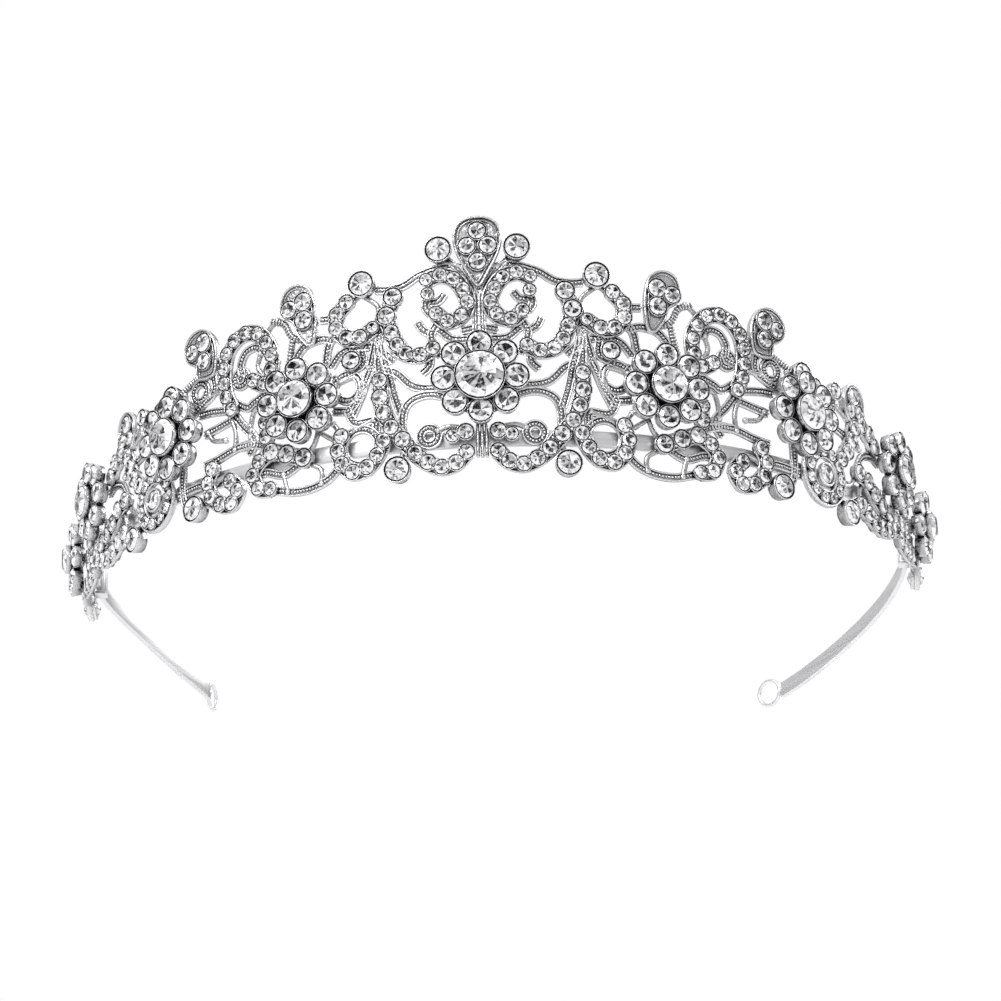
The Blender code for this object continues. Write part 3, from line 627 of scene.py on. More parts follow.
PLATED = rhodium_finish()
STRIP = strip_finish()
CRYSTAL = crystal_finish()
WIRE = wire_tree()
BEADS = bead_tree()
CUPS = setting_tree(metal=True)
STONES = setting_tree(metal=False)
PAVE_CUP = cup_pattern("pave_cup", wall=0.25, depth=1.0, lip=0.08, segments=12)
PETAL_CUP = cup_pattern("petal_cup", wall=0.17, depth=1.0, lip=0.08, segments=24)
BEZEL_CUP = cup_pattern("bezel_cup", wall=0.19, depth=1.0, lip=0.1, segments=32)
HEART_CUP = cup_pattern("heart_cup", wall=0.085, depth=0.7, lip=0.04, segments=48)
SMALL_CUT = brilliant_pattern("small_cut", fold=6)
LARGE_CUT = brilliant_pattern("large_cut", fold=9)
BALL = ball_pattern()


# Pieces.

def one_piece(name, meshes, replaced=()):
    """Joins meshes into one named piece that rides on the tiara's only body."""
    objects = [in_scene(name, mesh) for mesh in meshes]
    whole = objects[0]
    if len(objects) > 1:
        with bpy.context.temp_override(active_object=whole, selected_editable_objects=objects,
                                       selected_objects=objects):
            bpy.ops.object.join()
    whole.name = name
    whole.data.name = name
    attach(whole, "root")
    for node in replaced:
        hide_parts(node)
    return whole


def single_stone(node, pattern, stone, rise, seed):
    """A stone that is a piece of its own."""
    one_piece(f"{node}_cut", [set_stones(pattern, [stone], rise, seed)], [node])


# Worked metal, from flat paths. Each function returns a list of meshes, and backing() one mesh.

def drawn(paths):
    return [(smooth(path), False) for path in paths]


def rails(lines, half, rail):
    """A rail along both edges of each line."""
    edges = [(beside(line, side, closed), closed) for line, closed in lines for side in (half, -half)]
    return wires(edges, rail)


def beaded(lines, patina):
    """Two edge rails with a row of beads between them, on a darkened strip."""
    edges = rails(lines, RIBBON_HALF, RIBBON_RAIL)
    return [wires(lines, RIBBON, patina), edges, beads(lines, RIBBON_BEADS)]


def beaded_ribbon(paths):
    return beaded(drawn(paths), 0.15)


def beaded_ring(u, v, radius):
    return beaded([(circle(u, v, radius), True)], 0.3)


def grooved_ribbon(paths):
    """A plain ribbon with a raised rail along each edge."""
    lines = drawn(paths)
    return [wires(lines, GROOVED, 0.4), rails(lines, GROOVED_HALF, GROOVED_RAIL)]


def rope(paths):
    """A round core bound with ribs across it."""
    lines = drawn(paths)
    return [wires(lines, ROPE_CORE, 0.5), beads(lines, ROPE_RIBS)]


def tendrils(paths):
    """Plain round wire with a ball at each end."""
    lines = drawn(paths)
    ends = [(end.x, end.y, TENDRIL_BALL) for line, _ in lines for end in (line[0], line[-1])]
    return [wires(lines, TENDRIL, 0.3), set_cups(BALL, ends, TENDRIL[0])]


def stone_strip(stones):
    """The cast strip under a row of stones, with a fine rail along each edge."""
    lines = drawn([stones])
    return [wires(lines, STONE_STRIP, 0.3), rails(lines, STRIP_HALF, STONE_RAIL)]


def claws(stones):
    """Bead claws on both sides of the gap between each stone of a row and the next."""
    widest_gap, part_out = 1.2, 0.62
    spots = []
    for (au, av, ar), (bu, bv, br) in zip(stones, stones[1:]):
        run = Vector((bu - au, bv - av))
        if run.length > ar + br + widest_gap:
            continue
        across = Vector((-run.y, run.x)).normalized()
        middle = Vector((au, av)) + run * ar / (ar + br)
        for side in (1, -1):
            spot = middle + across * side * part_out * min(ar, br)
            spots.append((spot.x, spot.y, CLAW_BALL))
    return [set_cups(BALL, spots, CLAW_RISE)] if spots else []


def rims(outline, wire_pair, inset):
    """A smooth rim on a closed outline, and a finer one beside it."""
    line = smooth(outline, closed=True)
    outer, inner = wire_pair
    return [wires([(line, True)], outer), wires([(beside(line, inset, True), True)], inner)]


def backing(outline, patina):
    """A thin cast plate inside a closed outline, dulled this much on its face."""
    line = smooth(outline, closed=True, step=0.8)
    bm = bmesh.new()
    darkening = bm.verts.layers.float.new("patina")
    back = [bm.verts.new(on_front(p.x, p.y, PLATE_BACK)) for p in line]
    face = [bm.verts.new(on_front(p.x, p.y, PLATE_FACE)) for p in line]
    for vert in face:
        vert[darkening] = patina
    for triangle in tessellate_polygon([[Vector((p.x, p.y, 0.0)) for p in line]]):
        bm.faces.new([face[k] for k in triangle])
        bm.faces.new([back[k] for k in reversed(triangle)])
    skin(bm, [back, face])
    bmesh.ops.recalc_face_normals(bm, faces=bm.faces)
    return mesh_of(bm, "backing", PLATED)


# The layout: rows of stones as (u, v, radius), and wires as flat points. Rings are (u, v, radius).

CREST = [(0, 27.6), (1.9, 30.4), (3.3, 33.2), (3.9, 36.0), (3.2, 38.4), (1.4, 39.5)]
INNER_FINIAL = [(28.6, 21.0), (28.2, 24.4), (28.4, 27.6), (29.4, 30.2), (31.6, 31.3), (33.8, 30.5),
                (34.7, 28.2), (34.2, 26.2), (32.4, 24.8), (31.6, 22.6), (29.8, 20.4)]
OUTER_FINIAL = [(49.4, 19.4), (48.6, 22.0), (48.8, 24.8), (50.2, 27.1), (52.4, 28.0), (54.8, 27.2),
                (55.9, 25.2), (55.2, 23.0), (53.2, 21.6), (52.8, 19.4)]
SIDE_FINIAL = [(72.6, 13.0), (71.3, 15.4), (71.6, 17.8), (73.4, 19.4), (75.8, 19.2), (77.2, 17.2),
               (76.8, 14.8), (75.2, 12.4)]
TAIL_DROP = [(114.2, -0.4), (116.4, 0.0), (118.4, -1.0), (118.9, -2.4), (117.8, -3.8), (115.8, -3.6),
             (114.2, -2.8)]
CREST_STEM = [(0, 27.4), (0, 24.0), (0, 20.4), (0, 18.6)]
CREST_BROW = [(-3.0, 20.0), (0.0, 20.4), (3.0, 20.0)]
TAIL_BALL = (117.0, -2.1, 1.5)
SMALL_TIP = (68.3, 16.9, 1.3)
MEDALLION = (65.0, 1.3, 1.5)   # its heart stone
MEDALLION_RING = 4.1           # radius of the ring that its small stones stand on
MEDALLION_STONE = 0.95
MEDALLION_STONES = 11
# The medallion's wires: radius, wire, and the patina value it carries.
MEDALLION_RINGS = [(MEDALLION_RING, (0.6, 1.1, 2.2, 10), 0.8), (5.35, (1.0, 1.2, 0.6, 12), 0.0),
                   (2.95, (1.2, 0.8, 0.4, 10), 0.0), (1.9, (1.5, 0.9, 0.5, 10), 0.0)]

CENTRE_PLAN = {
    "rows": [
        [(8.7, 29.1, 1.0), (6.4, 29.8, 1.1), (4.1, 29.0, 1.1), (2.6, 27.1, 1.1), (1.9, 24.8, 1.1),
         (2.9, 22.5, 1.1), (5.3, 21.6, 1.1), (7.2, 23.1, 1.1)],
        [(14.4, 26.6, 1.45), (15.6, 23.4, 1.45), (14.8, 20.5, 1.2), (13.9, 18.2, 1.15),
         (12.4, 16.5, 1.15), (10.0, 16.0, 1.15), (7.8, 17.0, 1.1)],
        [(17.0, 12.3, 1.2), (17.0, 9.3, 1.3), (16.4, 6.6, 1.25), (15.2, 3.9, 1.25), (13.3, 1.5, 1.3),
         (11.2, -1.0, 1.25), (9.1, -2.8, 1.25), (6.8, -3.8, 1.2), (4.4, -3.2, 1.25),
         (2.6, -1.4, 1.2)],
    ],
    "loose": [(8.5, 26.6, 1.0), (2.7, 2.1, 1.25), (4.9, 1.5, 1.05)],
    "grooved": [
        [(5.4, 32.8), (3.4, 30.9), (1.6, 28.4), (0.6, 26.0), (0.55, 22.6), (0.6, 19.0)],
    ],
    "beaded": [
        [(4.8, 31.4), (7.4, 31.0), (10.2, 30.1), (12.6, 28.7), (15.0, 28.2), (17.6, 28.4)],
        [(8.8, 25.6), (9.0, 24.4), (8.2, 23.2)],
        [(7.2, 21.4), (8.1, 19.6), (7.6, 17.4), (6.6, 15.8)],
        [(8.2, 25.2), (6.8, 25.4), (5.8, 26.6)],
        [(8.2, 19.8), (9.6, 20.6), (10.4, 22.0)],
        [(8.4, 16.0), (8.6, 14.2), (9.8, 13.0)],
        [(17.3, 20.6), (16.6, 17.2), (15.4, 13.2), (14.6, 9.6), (13.6, 6.4)],
        [(17.4, 20.6), (18.2, 17.2), (19.2, 13.6), (20.8, 9.6), (22.4, 6.4)],
        [(17.35, 19.8), (17.3, 16.6), (17.2, 14.2)],
        [(5.2, 10.6), (8.6, 10.3), (11.6, 11.0), (14.2, 13.4), (16.6, 14.4)],
        [(5.4, 8.4), (8.8, 9.2), (11.8, 8.4), (13.2, 6.4), (13.4, 3.4)],
        [(6.8, 20.4), (4.6, 18.6), (2.0, 18.4)],
        [(14.6, 15.6), (16.8, 18.0), (17.0, 21.6)],
    ],
    "tendrils": [
        [(2.6, 31.2), (6.2, 32.4)],
        [(2.6, 3.0), (5.6, 3.4), (7.4, 2.8)],
        [(13.9, -2.0), (13.1, 0.4)],
    ],
    "rings": [(8.9, 1.9, 1.5)],
    "cups": ["crown_tip", "hem_inner"],
}
INNER_PLAN = {
    "rows": [
        [(18.0, 21.7, 0.95), (20.3, 20.3, 1.2), (22.7, 20.5, 1.2), (24.4, 22.4, 1.2),
         (24.3, 24.8, 1.2), (22.5, 26.7, 1.2)],
        [(16.6, 1.7, 1.2), (17.7, -0.7, 1.2), (19.5, -2.6, 1.25), (22.0, -3.1, 1.25),
         (23.9, -1.4, 1.2), (24.6, 1.0, 1.2), (23.9, 3.4, 1.2)],
        [(30.9, 0.8, 1.45), (34.1, 2.0, 1.45), (37.1, 3.0, 1.4), (39.6, 1.8, 1.15), (41.0, -0.4, 1.15),
         (39.9, -2.8, 1.15), (37.4, -3.4, 1.1)],
        [(38.1, 5.8, 1.2), (38.2, 8.4, 1.15)],
    ],
    "loose": [(30.4, 28.1, 1.5), (33.1, 27.2, 1.4), (30.4, 24.9, 1.5), (21.9, 16.4, 1.45)],
    "beaded": [
        [(24.4, 24.4), (27.6, 24.6)],
        [(25.0, 21.4), (26.2, 19.8), (26.8, 16.6), (27.6, 14.2)],
        [(25.2, 20.6), (27.6, 21.2), (30.8, 20.4), (33.0, 17.4), (33.6, 14.4)],
        [(18.8, 18.6), (20.8, 18.8), (23.8, 18.2), (25.8, 16.0)],
        [(20.2, 18.6), (20.0, 16.0), (21.4, 15.0), (25.4, 13.6)],
        [(18.4, 15.0), (19.8, 12.6), (21.2, 9.4), (22.8, 8.0), (25.6, 8.2)],
        [(18.0, 3.2), (18.2, 5.6), (21.6, 5.6), (23.2, 8.4)],
        [(24.6, -1.6), (26.6, -3.4), (29.6, -4.5), (33.0, -4.6), (36.4, -3.8)],
        [(31.6, 0.4), (35.0, -1.2), (38.6, -0.2), (41.2, -0.4)],
        [(38.6, 4.4), (41.0, 5.2), (44.0, 5.4)],
    ],
    "roped": [
        [(28.4, 22.2), (31.4, 21.8), (33.2, 22.8), (34.6, 25.2), (37.0, 26.0)],
        [(33.0, 21.8), (33.6, 18.8), (34.6, 15.4), (34.4, 12.6)],
    ],
    "tendrils": [
        [(22.0, 26.6), (20.2, 28.0)],
        [(19.6, 27.6), (17.2, 25.4), (17.6, 22.4)],
        [(20.6, 11.2), (21.4, 13.6), (25.0, 12.8)],
        [(18.4, 5.8), (21.4, 4.6), (23.6, 3.6), (25.6, 6.0)],
        [(30.0, -0.2), (28.0, -1.6), (28.0, -4.0)],
        [(35.2, -1.2), (34.4, -4.4)],
        [(28.4, 5.6), (29.2, 3.2), (30.6, 1.6)],
        [(38.0, 8.4), (36.4, 10.2), (34.0, 10.4)],
        [(24.6, 2.6), (27.6, 4.6), (29.0, 6.0)],
    ],
    "plates": [INNER_FINIAL],
    "rings": [(22.9, 12.0, 2.3), (20.7, 1.3, 3.1)],
    "cups": ["scroll_tip"],
}
OUTER_PLAN = {
    "rows": [
        paced([(40.6, 16.3), (38.2, 15.3), (36.9, 17.6), (36.8, 20.3), (38.0, 22.8), (40.0, 24.6),
               (42.5, 24.9), (44.8, 23.8), (46.3, 21.8), (46.8, 19.4), (46.8, 17.0), (46.3, 14.6),
               (45.2, 12.2)], 2.5, 1.1),
        [(45.8, -0.2, 1.2), (44.3, -2.2, 1.2), (45.6, -4.2, 1.2), (48.1, -3.8, 1.2), (50.2, -2.0, 1.2),
         (50.9, 0.5, 1.2), (49.8, 2.8, 1.2)],
        [(59.8, 17.9, 1.75), (62.9, 16.3, 1.4), (65.0, 14.4, 1.1)],
    ],
    "loose": [(51.3, 25.5, 1.55), (54.0, 24.4, 1.3), (51.3, 22.2, 1.4)],
    "beaded": [
        [(39.0, 20.6), (40.2, 22.2), (42.4, 21.8), (43.6, 19.8), (43.4, 17.6), (45.8, 16.8)],
        [(45.4, 11.8), (43.4, 9.2), (40.8, 6.2), (42.0, 3.6)],
        [(36.6, 14.6), (38.6, 13.6), (41.0, 12.6), (42.4, 12.0), (45.2, 13.6)],
        [(41.0, 5.6), (44.8, 5.4), (49.0, 4.4), (52.2, 4.0)],
        [(49.8, 19.4), (49.6, 16.6), (52.6, 14.8), (55.0, 13.6)],
        [(46.2, 12.4), (50.0, 13.0), (53.2, 13.2)],
        [(45.6, 10.6), (48.6, 10.0), (52.0, 9.4)],
        [(51.2, 0.6), (54.4, 0.8), (58.8, 0.4)],
        [(56.0, -3.0), (57.4, -1.0), (57.8, 1.6), (57.6, 5.4)],
    ],
    "roped": [
        [(46.6, 22.4), (49.4, 20.2), (53.0, 19.9), (56.2, 18.8), (59.0, 17.4)],
    ],
    "tendrils": [
        [(35.9, 26.1), (37.4, 25.0), (38.6, 23.6)],
        [(38.2, 16.0), (40.0, 18.6), (39.4, 21.0)],
        [(37.2, 13.6), (37.8, 11.4), (40.6, 11.4), (41.6, 9.4), (41.8, 6.8)],
        [(47.2, 7.4), (50.0, 8.0), (51.2, 9.6)],
        [(46.6, 16.4), (50.6, 16.0)],
        [(46.0, 0.2), (47.6, 1.2), (49.8, 0.6)],
        [(46.0, 11.2), (45.0, 8.2), (45.2, 5.2)],
        [(50.8, -2.0), (52.0, -3.0)],
        [(56.8, 17.8), (57.4, 14.0)],
        [(62.6, 15.2), (61.2, 12.6)],
    ],
    "plates": [OUTER_FINIAL],
    "rings": [(43.6, 17.4, 1.3), (53.0, 17.2, 1.6)],
    "cups": ["hem_outer"],
}
END_PLAN = {
    "rows": [
        paced([(69.6, 5.2), (72.2, 7.8), (73.4, 11.0), (75.6, 12.8), (78.6, 12.2), (80.8, 10.2)],
              2.9, 1.3),
        paced([(72.8, -2.6), (75.8, -1.4), (78.8, -2.8), (82.0, -3.6), (85.4, -3.2), (88.6, -2.2)],
              2.9, 1.3),
        paced([(75.0, 4.2), (78.0, 3.4), (81.2, 1.2), (84.6, 0.2), (88.4, -0.4), (92.0, -0.2),
               (95.4, -0.6)], 2.9, 1.3),
        paced([(92.0, -3.0), (95.6, -3.6), (99.4, -3.4), (103.2, -2.6), (107.2, -1.8)], 2.8, 1.25),
        paced([(108.6, 1.4), (112.4, 0.2), (114.6, -1.0)], 2.7, 1.2),
    ],
    "loose": [(73.9, 17.3, 1.45), (72.9, 14.6, 1.1), (75.6, 14.8, 1.2), (98.0, 1.2, 1.1),
              (94.8, 3.0, 1.2), (116.4, -1.9, 1.15), (111.0, -2.1, 1.1)],
    "beaded": [
        [(64.8, 13.0), (67.0, 11.4), (70.4, 10.4), (73.0, 9.8)],
        [(66.8, 7.4), (67.8, 10.2), (68.4, 13.8), (68.4, 16.4)],
        [(75.0, 4.2), (77.0, 7.4), (80.6, 8.6), (83.4, 8.0)],
        [(82.0, -3.6), (84.2, -1.6), (84.6, 0.4), (85.6, 4.0)],
        [(89.6, 8.4), (93.6, 6.4), (97.2, 5.4), (100.4, 4.2)],
        [(90.2, 3.6), (94.6, 0.8), (99.6, 0.0)],
    ],
    "tendrils": [
        [(66.9, 1.5), (68.8, 1.9)],
        [(69.6, 14.6), (72.6, 13.4)],
        [(70.2, 0.8), (73.0, 1.6), (75.2, 3.8)],
        [(74.6, 11.8), (76.4, 8.8)],
        [(69.4, -2.0), (71.2, -1.8), (73.6, -2.2)],
        [(75.8, -1.4), (76.2, 1.6), (78.4, 3.2)],
        [(95.4, -0.6), (96.0, -3.6)],
        [(103.6, 0.8), (104.0, -2.4)],
        [(110.0, 1.0), (110.8, -2.0)],
    ],
    "plates": [SIDE_FINIAL, TAIL_DROP],
    "cups": ["hem_end"],
}
CASTINGS = {"centre": CENTRE_PLAN, "inner": INNER_PLAN, "outer": OUTER_PLAN, "end": END_PLAN}
WAYS = {"beaded": beaded_ribbon, "grooved": grooved_ribbon, "roped": rope, "tendrils": tendrils}


# The filigree castings.

def petal_places(name):
    """(u, v, radius) of each petal stone of a rosette for +X, the first one straight up."""
    u, v, _, petal, reach, count = ROSETTES[name]
    turns = [math.pi / 2 + 2 * math.pi * k / count for k in range(count)]
    return [(u + reach * math.cos(turn), v + reach * math.sin(turn), petal) for turn in turns]


def clear_of_rosettes(stones):
    """The stones that no rosette covers."""
    rounds = [(Vector((u, v)), reach + petal) for u, v, _, petal, reach, _ in ROSETTES.values()]
    return [stone for stone in stones
            if all((Vector(stone[:2]) - middle).length >= radius for middle, radius in rounds)]


def medallion(side):
    """A ring of stones between two rims, round a heart. Returns its metal and its ring's stones."""
    u, v = MEDALLION[0] * side, MEDALLION[1]
    metal = [wires([(circle(u, v, radius), True)], wire, patina)
             for radius, wire, patina in MEDALLION_RINGS]
    ring = [(p.x, p.y, MEDALLION_STONE) for p in circle(u, v, MEDALLION_RING, MEDALLION_STONES)]
    metal.append(set_cups(PAVE_CUP, ring, MEDALLION_GIRDLE))
    return metal, ring


def end_extras(side):
    """What only an end casting has: the medallion, a small tip stone, and the ball of its tail."""
    metal, ring = medallion(side)
    tip, ball, heart = on_side([SMALL_TIP, TAIL_BALL, MEDALLION], side)
    metal.append(set_cups(PAVE_CUP, [tip], PAVE_GIRDLE))
    metal.append(set_cups(BALL, [ball], TAIL_BALL_RISE))
    return metal, ring + [tip, heart]


def crest_metal():
    """The teardrop crest, a plate with two rims round its four stones, and the stem under it."""
    outline = CREST + on_side(CREST[:0:-1], -1)
    foot = drawn([[(u, 4.2), (u, 1.0), (u, -2.2)] for u in (-0.75, 0.0, 0.75)])
    return [backing(outline, 0.12), set_cups(PAVE_CUP, list(CREST_STONES.values()), CREST_GIRDLE),
            *rims(outline, CREST_RIMS, CREST_INSET), *beaded_ribbon([CREST_STEM, CREST_BROW]),
            wires(foot, CREST_FOOT)]


def casting_side(plan, rows, side):
    """One side of a casting: its strips of stones, wires, plates, rings and tall cups."""
    meshes = []
    for row in rows:
        if len(row) > 1:
            meshes += stone_strip(row)
        meshes += claws(row)
    for way, work in WAYS.items():
        if way in plan:
            meshes += work([on_side(path, side) for path in plan[way]])
    for outline in plan.get("plates", []):
        flat = on_side(outline, side)
        meshes += [backing(flat, 0.1), *rims(flat, FINIAL_RIMS, -FINIAL_INSET * side)]
    for ring in on_side(plan.get("rings", []), side):
        meshes += beaded_ring(*ring)
    bezels = on_side([BEZELS[name] for name in plan["cups"]], side)
    return meshes + [set_cups(BEZEL_CUP, bezels, CUP_GIRDLE)]


def casting(plan, sides):
    """A casting's worked metal and its small stones, for the sides that it covers."""
    meshes, in_rows, loose = [], [], []
    for side in sides:
        rows = [on_side(clear_of_rosettes(row), side) for row in plan["rows"]]
        meshes += casting_side(plan, rows, side)
        in_rows += [stone for row in rows for stone in row]
        loose += on_side(plan["loose"], side)
    stones = in_rows + loose
    meshes.append(set_cups(PAVE_CUP, stones, PAVE_GIRDLE))
    return meshes, stones


def filigree():
    """Each casting's metal, and the small stones set in it."""
    for name, plan in CASTINGS.items():
        for label, side in copies(name).items():
            metal, stones = casting(plan, (1, -1) if name == "centre" else (side,))
            if name == "centre":
                metal += crest_metal()
            if name == "end":
                more_metal, more_stones = end_extras(side)
                metal += more_metal
                stones += more_stones
            one_piece(f"filigree_{label}_metal", metal, [f"filigree_{label}"])
            cut = set_stones(SMALL_CUT, stones, PAVE_GIRDLE, seed=len(label))
            one_piece(f"filigree_{label}_stones", [cut])


# Rosettes and the larger stones.

def rosette(name, label, side):
    """Petal cups round a taller heart cup, on a small back plate."""
    (u, v, radius), = on_side([ROSETTES[name][:3]], side)
    petals = on_side(petal_places(name), side)
    web = circle(u, v, radius + 1.0, 24)
    metal = [set_cups(PETAL_CUP, petals, PETAL_GIRDLE),
             set_cups(HEART_CUP, [(u, v, radius)], HEART_GIRDLE),
             wires([(web, True)], ROSETTE_WEB, 0.55)]
    one_piece(f"rosette_{label}_metal", metal, [f"rosette_{label}"])
    single_stone(f"heart_stone_{label}", LARGE_CUT, (u, v, radius), HEART_GIRDLE, seed=3)
    if name != "centre":
        cut = set_stones(SMALL_CUT, petals, PETAL_GIRDLE, seed=11)
        one_piece(f"petal_stones_{label}", [cut])
        return
    for k, petal in enumerate(petals, 1):
        single_stone(f"petal_stone_{k}", SMALL_CUT, petal, PETAL_GIRDLE, seed=20 + k)


def rosettes():
    for name in ROSETTES:
        for label, side in copies(name).items():
            rosette(name, label, side)


def single_stones():
    """The crest's four stones, and the stone of each tall cup."""
    for k, (place, stone) in enumerate(CREST_STONES.items()):
        single_stone(f"crest_stone_{place}", SMALL_CUT, stone, CREST_GIRDLE, seed=40 + k)
    for k, (place, (u, v, radius)) in enumerate(BEZELS.items()):
        for word, side in SIDES.items():
            stone = (u * side, v, radius)
            single_stone(f"{place}_stone_{word}", LARGE_CUT, stone, CUP_GIRDLE, seed=60 + 2 * k + side)


# The headband, its clamps and its end loops.

def arm_points(word):
    """Plan points of one arm's outer face, from where it leaves the round to its end."""
    out = Vector((math.sin(ROUND_END), -math.cos(ROUND_END)))
    on = Vector((math.cos(ROUND_END), math.sin(ROUND_END)))
    offsets = ((0.0, 0.0), (ARM_LEAD[word], 0.0), ARM_TURN[word], ARM_END[word])
    ends = [out * HOOP_RADIUS + on * along - out * inward for along, inward in offsets]
    points = []
    for k in range(1, ARM_STEPS + 1):
        t = k / ARM_STEPS
        weights = ((1 - t) ** 3, 3 * t * (1 - t) ** 2, 3 * t * t * (1 - t), t ** 3)
        x, y = sum((w * p for w, p in zip(weights, ends)), Vector((0, 0)))
        points.append(Vector((x * SIDES[word], y)))
    return points


def band_low_edge(at):
    """Height of the band's lower edge: level round the brow, easing down along the arms."""
    word = "right" if at.x > 0 else "left"
    start = -HOOP_RADIUS * math.cos(ROUND_END)
    end = arm_points(word)[-1].y
    fall = max(0.0, (at.y - start) / (end - start))
    return BAND_Z - ARM_DROP[word] * fall * fall * (3 - 2 * fall)


def headband():
    """The flat sprung strip, with its long edges rounded over."""
    turns = [ROUND_END * (2 * k / ROUND_STEPS - 1) for k in range(ROUND_STEPS + 1)]
    middle = [Vector((HOOP_RADIUS * math.sin(t), -HOOP_RADIUS * math.cos(t))) for t in turns]
    plan = arm_points("left")[::-1] + middle + arm_points("right")
    rows = []
    bm = bmesh.new()
    for k, at in enumerate(plan):
        run = (plan[min(k + 1, len(plan) - 1)] - plan[max(k - 1, 0)]).normalized()
        inward = Vector((-run.y, run.x))
        base = band_low_edge(at)
        row = []
        for deep, up in rounded_section(BAND_THICKNESS, BAND_HEIGHT, BAND_ROUND_OVER):
            flat = at + inward * deep
            row.append(bm.verts.new(Vector((flat.x, flat.y + HOOP_Y, base + up)) * MM))
        rows.append(row)
    skin(bm, rows)
    bm.faces.new(rows[0][::-1])
    bm.faces.new(rows[-1])
    strip_piece("headband_strip", "headband", bm, FLAT_FACE_ANGLE)


def rounded_section(deep, high, round_over, steps=3):
    """A flat bar's section as (deep, high), with its four corners rounded over."""
    corners = ((deep - round_over, high - round_over, 0), (round_over, high - round_over, 1),
               (round_over, round_over, 2), (deep - round_over, round_over, 3))
    section = []
    for x, y, quarter in corners:
        for k in range(steps + 1):
            turn = math.pi / 2 * (quarter + k / steps)
            section.append((x + round_over * math.cos(turn), y + round_over * math.sin(turn)))
    return section


def strip_piece(name, node, bm, crease=50.0):
    """A piece of bright strip or wire, creased where it turns by more than this many degrees."""
    bmesh.ops.recalc_face_normals(bm, faces=bm.faces)
    mesh = mesh_of(bm, name, STRIP)
    mesh.shade_smooth()
    mesh.set_sharp_from_angle(angle=math.radians(crease))
    one_piece(name, [mesh], [node])


def end_loop(word):
    """The wire ring at an arm's end, with the solder that holds it to the strip."""
    low, high = (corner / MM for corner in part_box(f"end_loop_{word}"))
    side = SIDES[word]
    lead = Vector((side * (low.x - high.x), high.y - low.y)).normalized()
    bm = bmesh.new()
    ring_of_wire(bm, (low + high) / 2, lead, (high.z - low.z) / 2 - LOOP_WIRE)
    tip = arm_points(word)[-1]
    anchor = Vector((tip.x - side * 0.3, tip.y + HOOP_Y + 0.1, band_low_edge(tip) + BAND_HEIGHT / 2))
    blob = bmesh.ops.create_uvsphere(bm, u_segments=16, v_segments=10, radius=MM)
    shape = Matrix.Translation(anchor * MM) @ Matrix.Diagonal((*LOOP_SOLDER, 1.0))
    bmesh.ops.transform(bm, matrix=shape, verts=blob["verts"])
    strip_piece(f"end_loop_{word}_wire", f"end_loop_{word}", bm)


def ring_of_wire(bm, middle, lead, radius, around=48, section=12):
    """An upright ring, with its level axis square to the lead."""
    axis = Vector((lead.y, -lead.x, 0.0))
    rows = []
    for k in range(around):
        turn = 2 * math.pi * k / around
        out = Vector((lead.x * math.cos(turn), lead.y * math.cos(turn), math.sin(turn)))
        row = []
        for j in range(section):
            t = 2 * math.pi * j / section
            at = middle + out * (radius + LOOP_WIRE * math.cos(t)) + axis * LOOP_WIRE * math.sin(t)
            row.append(bm.verts.new(at * MM))
        rows.append(row)
    skin(bm, rows, closed=True)


def clamp(word):
    """The folded tab that grips the strip, with its edges eased."""
    node = f"band_clamp_{word}"
    bm = bmesh.new()
    bm.from_mesh(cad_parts[node].data)
    bmesh.ops.remove_doubles(bm, verts=bm.verts, dist=1e-6)
    bmesh.ops.dissolve_limit(bm, angle_limit=math.radians(4), verts=bm.verts, edges=bm.edges)
    sharp = [edge for edge in bm.edges if len(edge.link_faces) == 2 and edge.calc_face_angle() > 0.7]
    bmesh.ops.bevel(bm, geom=sharp, offset=CLAMP_EDGE * MM, segments=3, profile=0.5, affect="EDGES")
    strip_piece(f"{node}_tab", node, bm)


# The studio.

def camera():
    yaw, pitch, roll = (math.radians(turn) for turn in (CAMERA_YAW, CAMERA_PITCH, CAMERA_ROLL))
    view = Matrix.Rotation(roll, 3, "Y") @ Matrix.Rotation(pitch, 3, "X") @ Matrix.Rotation(yaw, 3, "Z")
    right, onward, up = view
    hoop = Vector((0.0, HOOP_Y, BAND_Z))
    at = hoop - onward * CAMERA_DISTANCE + up * CAMERA_ABOVE - right * CAMERA_LEFT
    made = bpy.data.cameras.new("camera")
    made.lens = CAMERA_LENS
    made.clip_end = 20.0
    obj = in_scene("camera", made)
    obj.matrix_world = Matrix.Translation(at * MM) @ Matrix((right, up, -onward)).transposed().to_4x4()
    bpy.context.scene.camera = obj


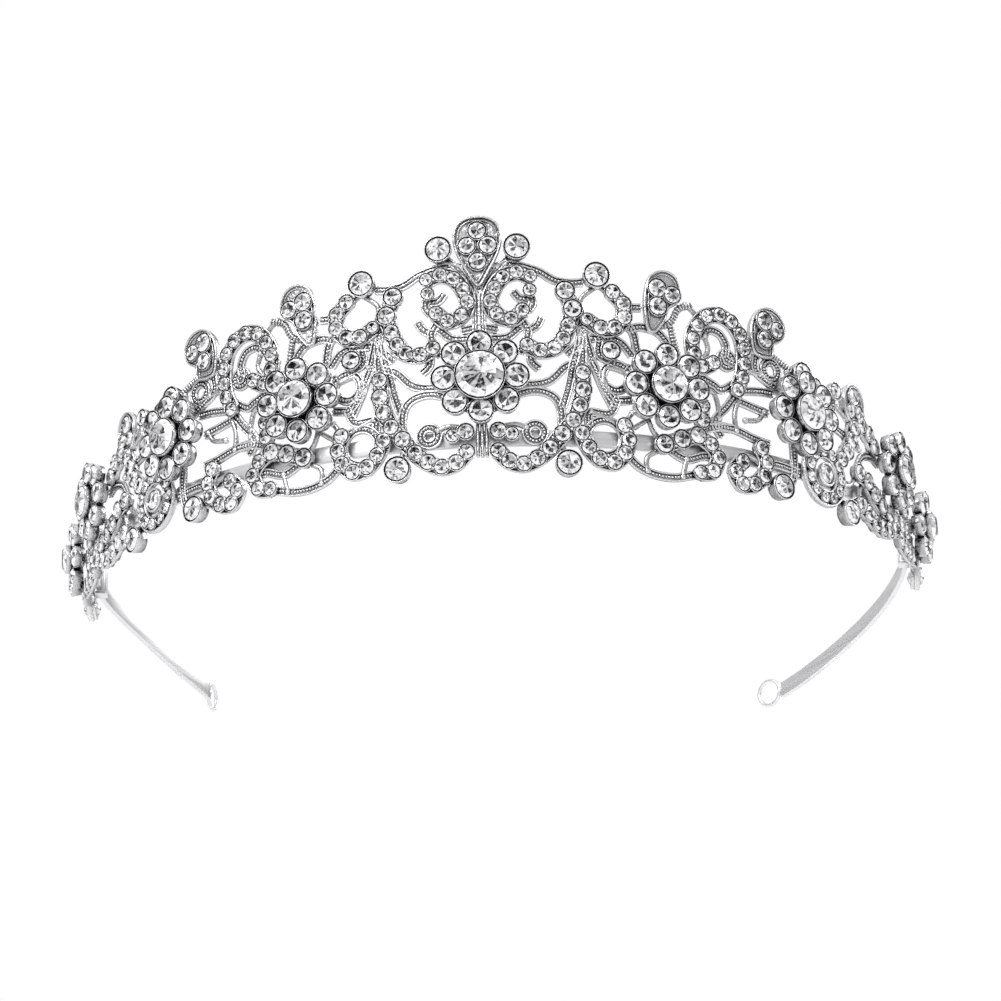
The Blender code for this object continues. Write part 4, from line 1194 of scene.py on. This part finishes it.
def floor():
    """A pale tabletop that shows from above only, and fades out well past the tiara."""
    bm = bmesh.new()
    bmesh.ops.create_grid(bm, x_segments=1, y_segments=1, size=TABLETOP_HALF)
    made, tree, shader = blank_finish("pale_tabletop")
    place = object_place(tree)
    cloud = noise(tree, place, 30.0, 3.0)
    fill(tree, shader, {"Base Color": ramp(tree, cloud, [(0.3, 0.86), (0.7, 0.9)]), "Roughness": 0.7})
    below = add(tree, "ShaderNodeNewGeometry").outputs["Backfacing"]
    away = add(tree, "ShaderNodeVectorMath", {0: place}, operation="LENGTH").outputs["Value"]
    near, far = TABLETOP_FADE
    faded = add(tree, "ShaderNodeMapRange", {"Value": away, "From Min": near, "From Max": far})
    unseen = maths(tree, "MAXIMUM", below, faded.outputs[0])
    clear = add(tree, "ShaderNodeBsdfTransparent").outputs[0]
    both = add(tree, "ShaderNodeMixShader", {0: unseen, 1: shader.outputs[0], 2: clear})
    fill(tree, tree.nodes["Material Output"], {"Surface": both.outputs[0]})
    obj = in_scene("tabletop", mesh_of(bm, "tabletop", made))
    obj.location.z = -TABLETOP_DROP
    obj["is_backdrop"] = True


def surroundings():
    """A white tent hung with dark cards: what the metal and the facets mirror. The backdrop is white."""
    world = bpy.data.worlds.new("tent")
    world.use_nodes = True
    bpy.context.scene.world = world
    tree = world.node_tree
    tree.nodes.clear()
    place = add(tree, "ShaderNodeTexCoord").outputs["Generated"]
    cards = add(tree, "ShaderNodeTexWave", {"Vector": place, "Scale": 1.1, "Distortion": 5.0, "Detail": 1.0,
                                            "Detail Scale": 1.0}, bands_direction="DIAGONAL")
    height = add(tree, "ShaderNodeSeparateXYZ", {"Vector": place}).outputs["Z"]
    opened = maths(tree, "MULTIPLY_ADD", height, 0.45, cards.outputs["Fac"])
    tent = ramp(tree, opened, [(0.36, 0.02), (0.5, 0.32), (0.62, 0.66), (0.88, 1.0)])
    lit = add(tree, "ShaderNodeBackground", {"Color": tent, "Strength": 1.15})
    plain = add(tree, "ShaderNodeBackground", {"Color": (1.0, 1.0, 1.0, 1.0), "Strength": 1.0})
    seen = add(tree, "ShaderNodeLightPath").outputs["Is Camera Ray"]
    both = add(tree, "ShaderNodeMixShader", {0: seen, 1: lit.outputs[0], 2: plain.outputs[0]})
    add(tree, "ShaderNodeOutputWorld", {"Surface": both.outputs[0]})
    bpy.context.scene.view_settings.view_transform = "Standard"


def softbox(name, at, size, power):
    made = bpy.data.lights.new(name, "AREA")
    made.shape = "RECTANGLE"
    made.size = size
    made.size_y = size * 0.6
    made.energy = power
    obj = in_scene(name, made)
    obj.location = at
    aim = (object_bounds()[0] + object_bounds()[1]) / 2 - Vector(at)
    obj.rotation_euler = aim.to_track_quat("-Z", "Y").to_euler()


camera()
filigree()
rosettes()
single_stones()
headband()
for end in SIDES:
    end_loop(end)
    clamp(end)
floor()
surroundings()
softbox("key_softbox", (-0.5, -0.9, 0.7), 0.6, 9.0)
softbox("rim_softbox", (0.7, 0.5, 0.5), 0.4, 4.0)
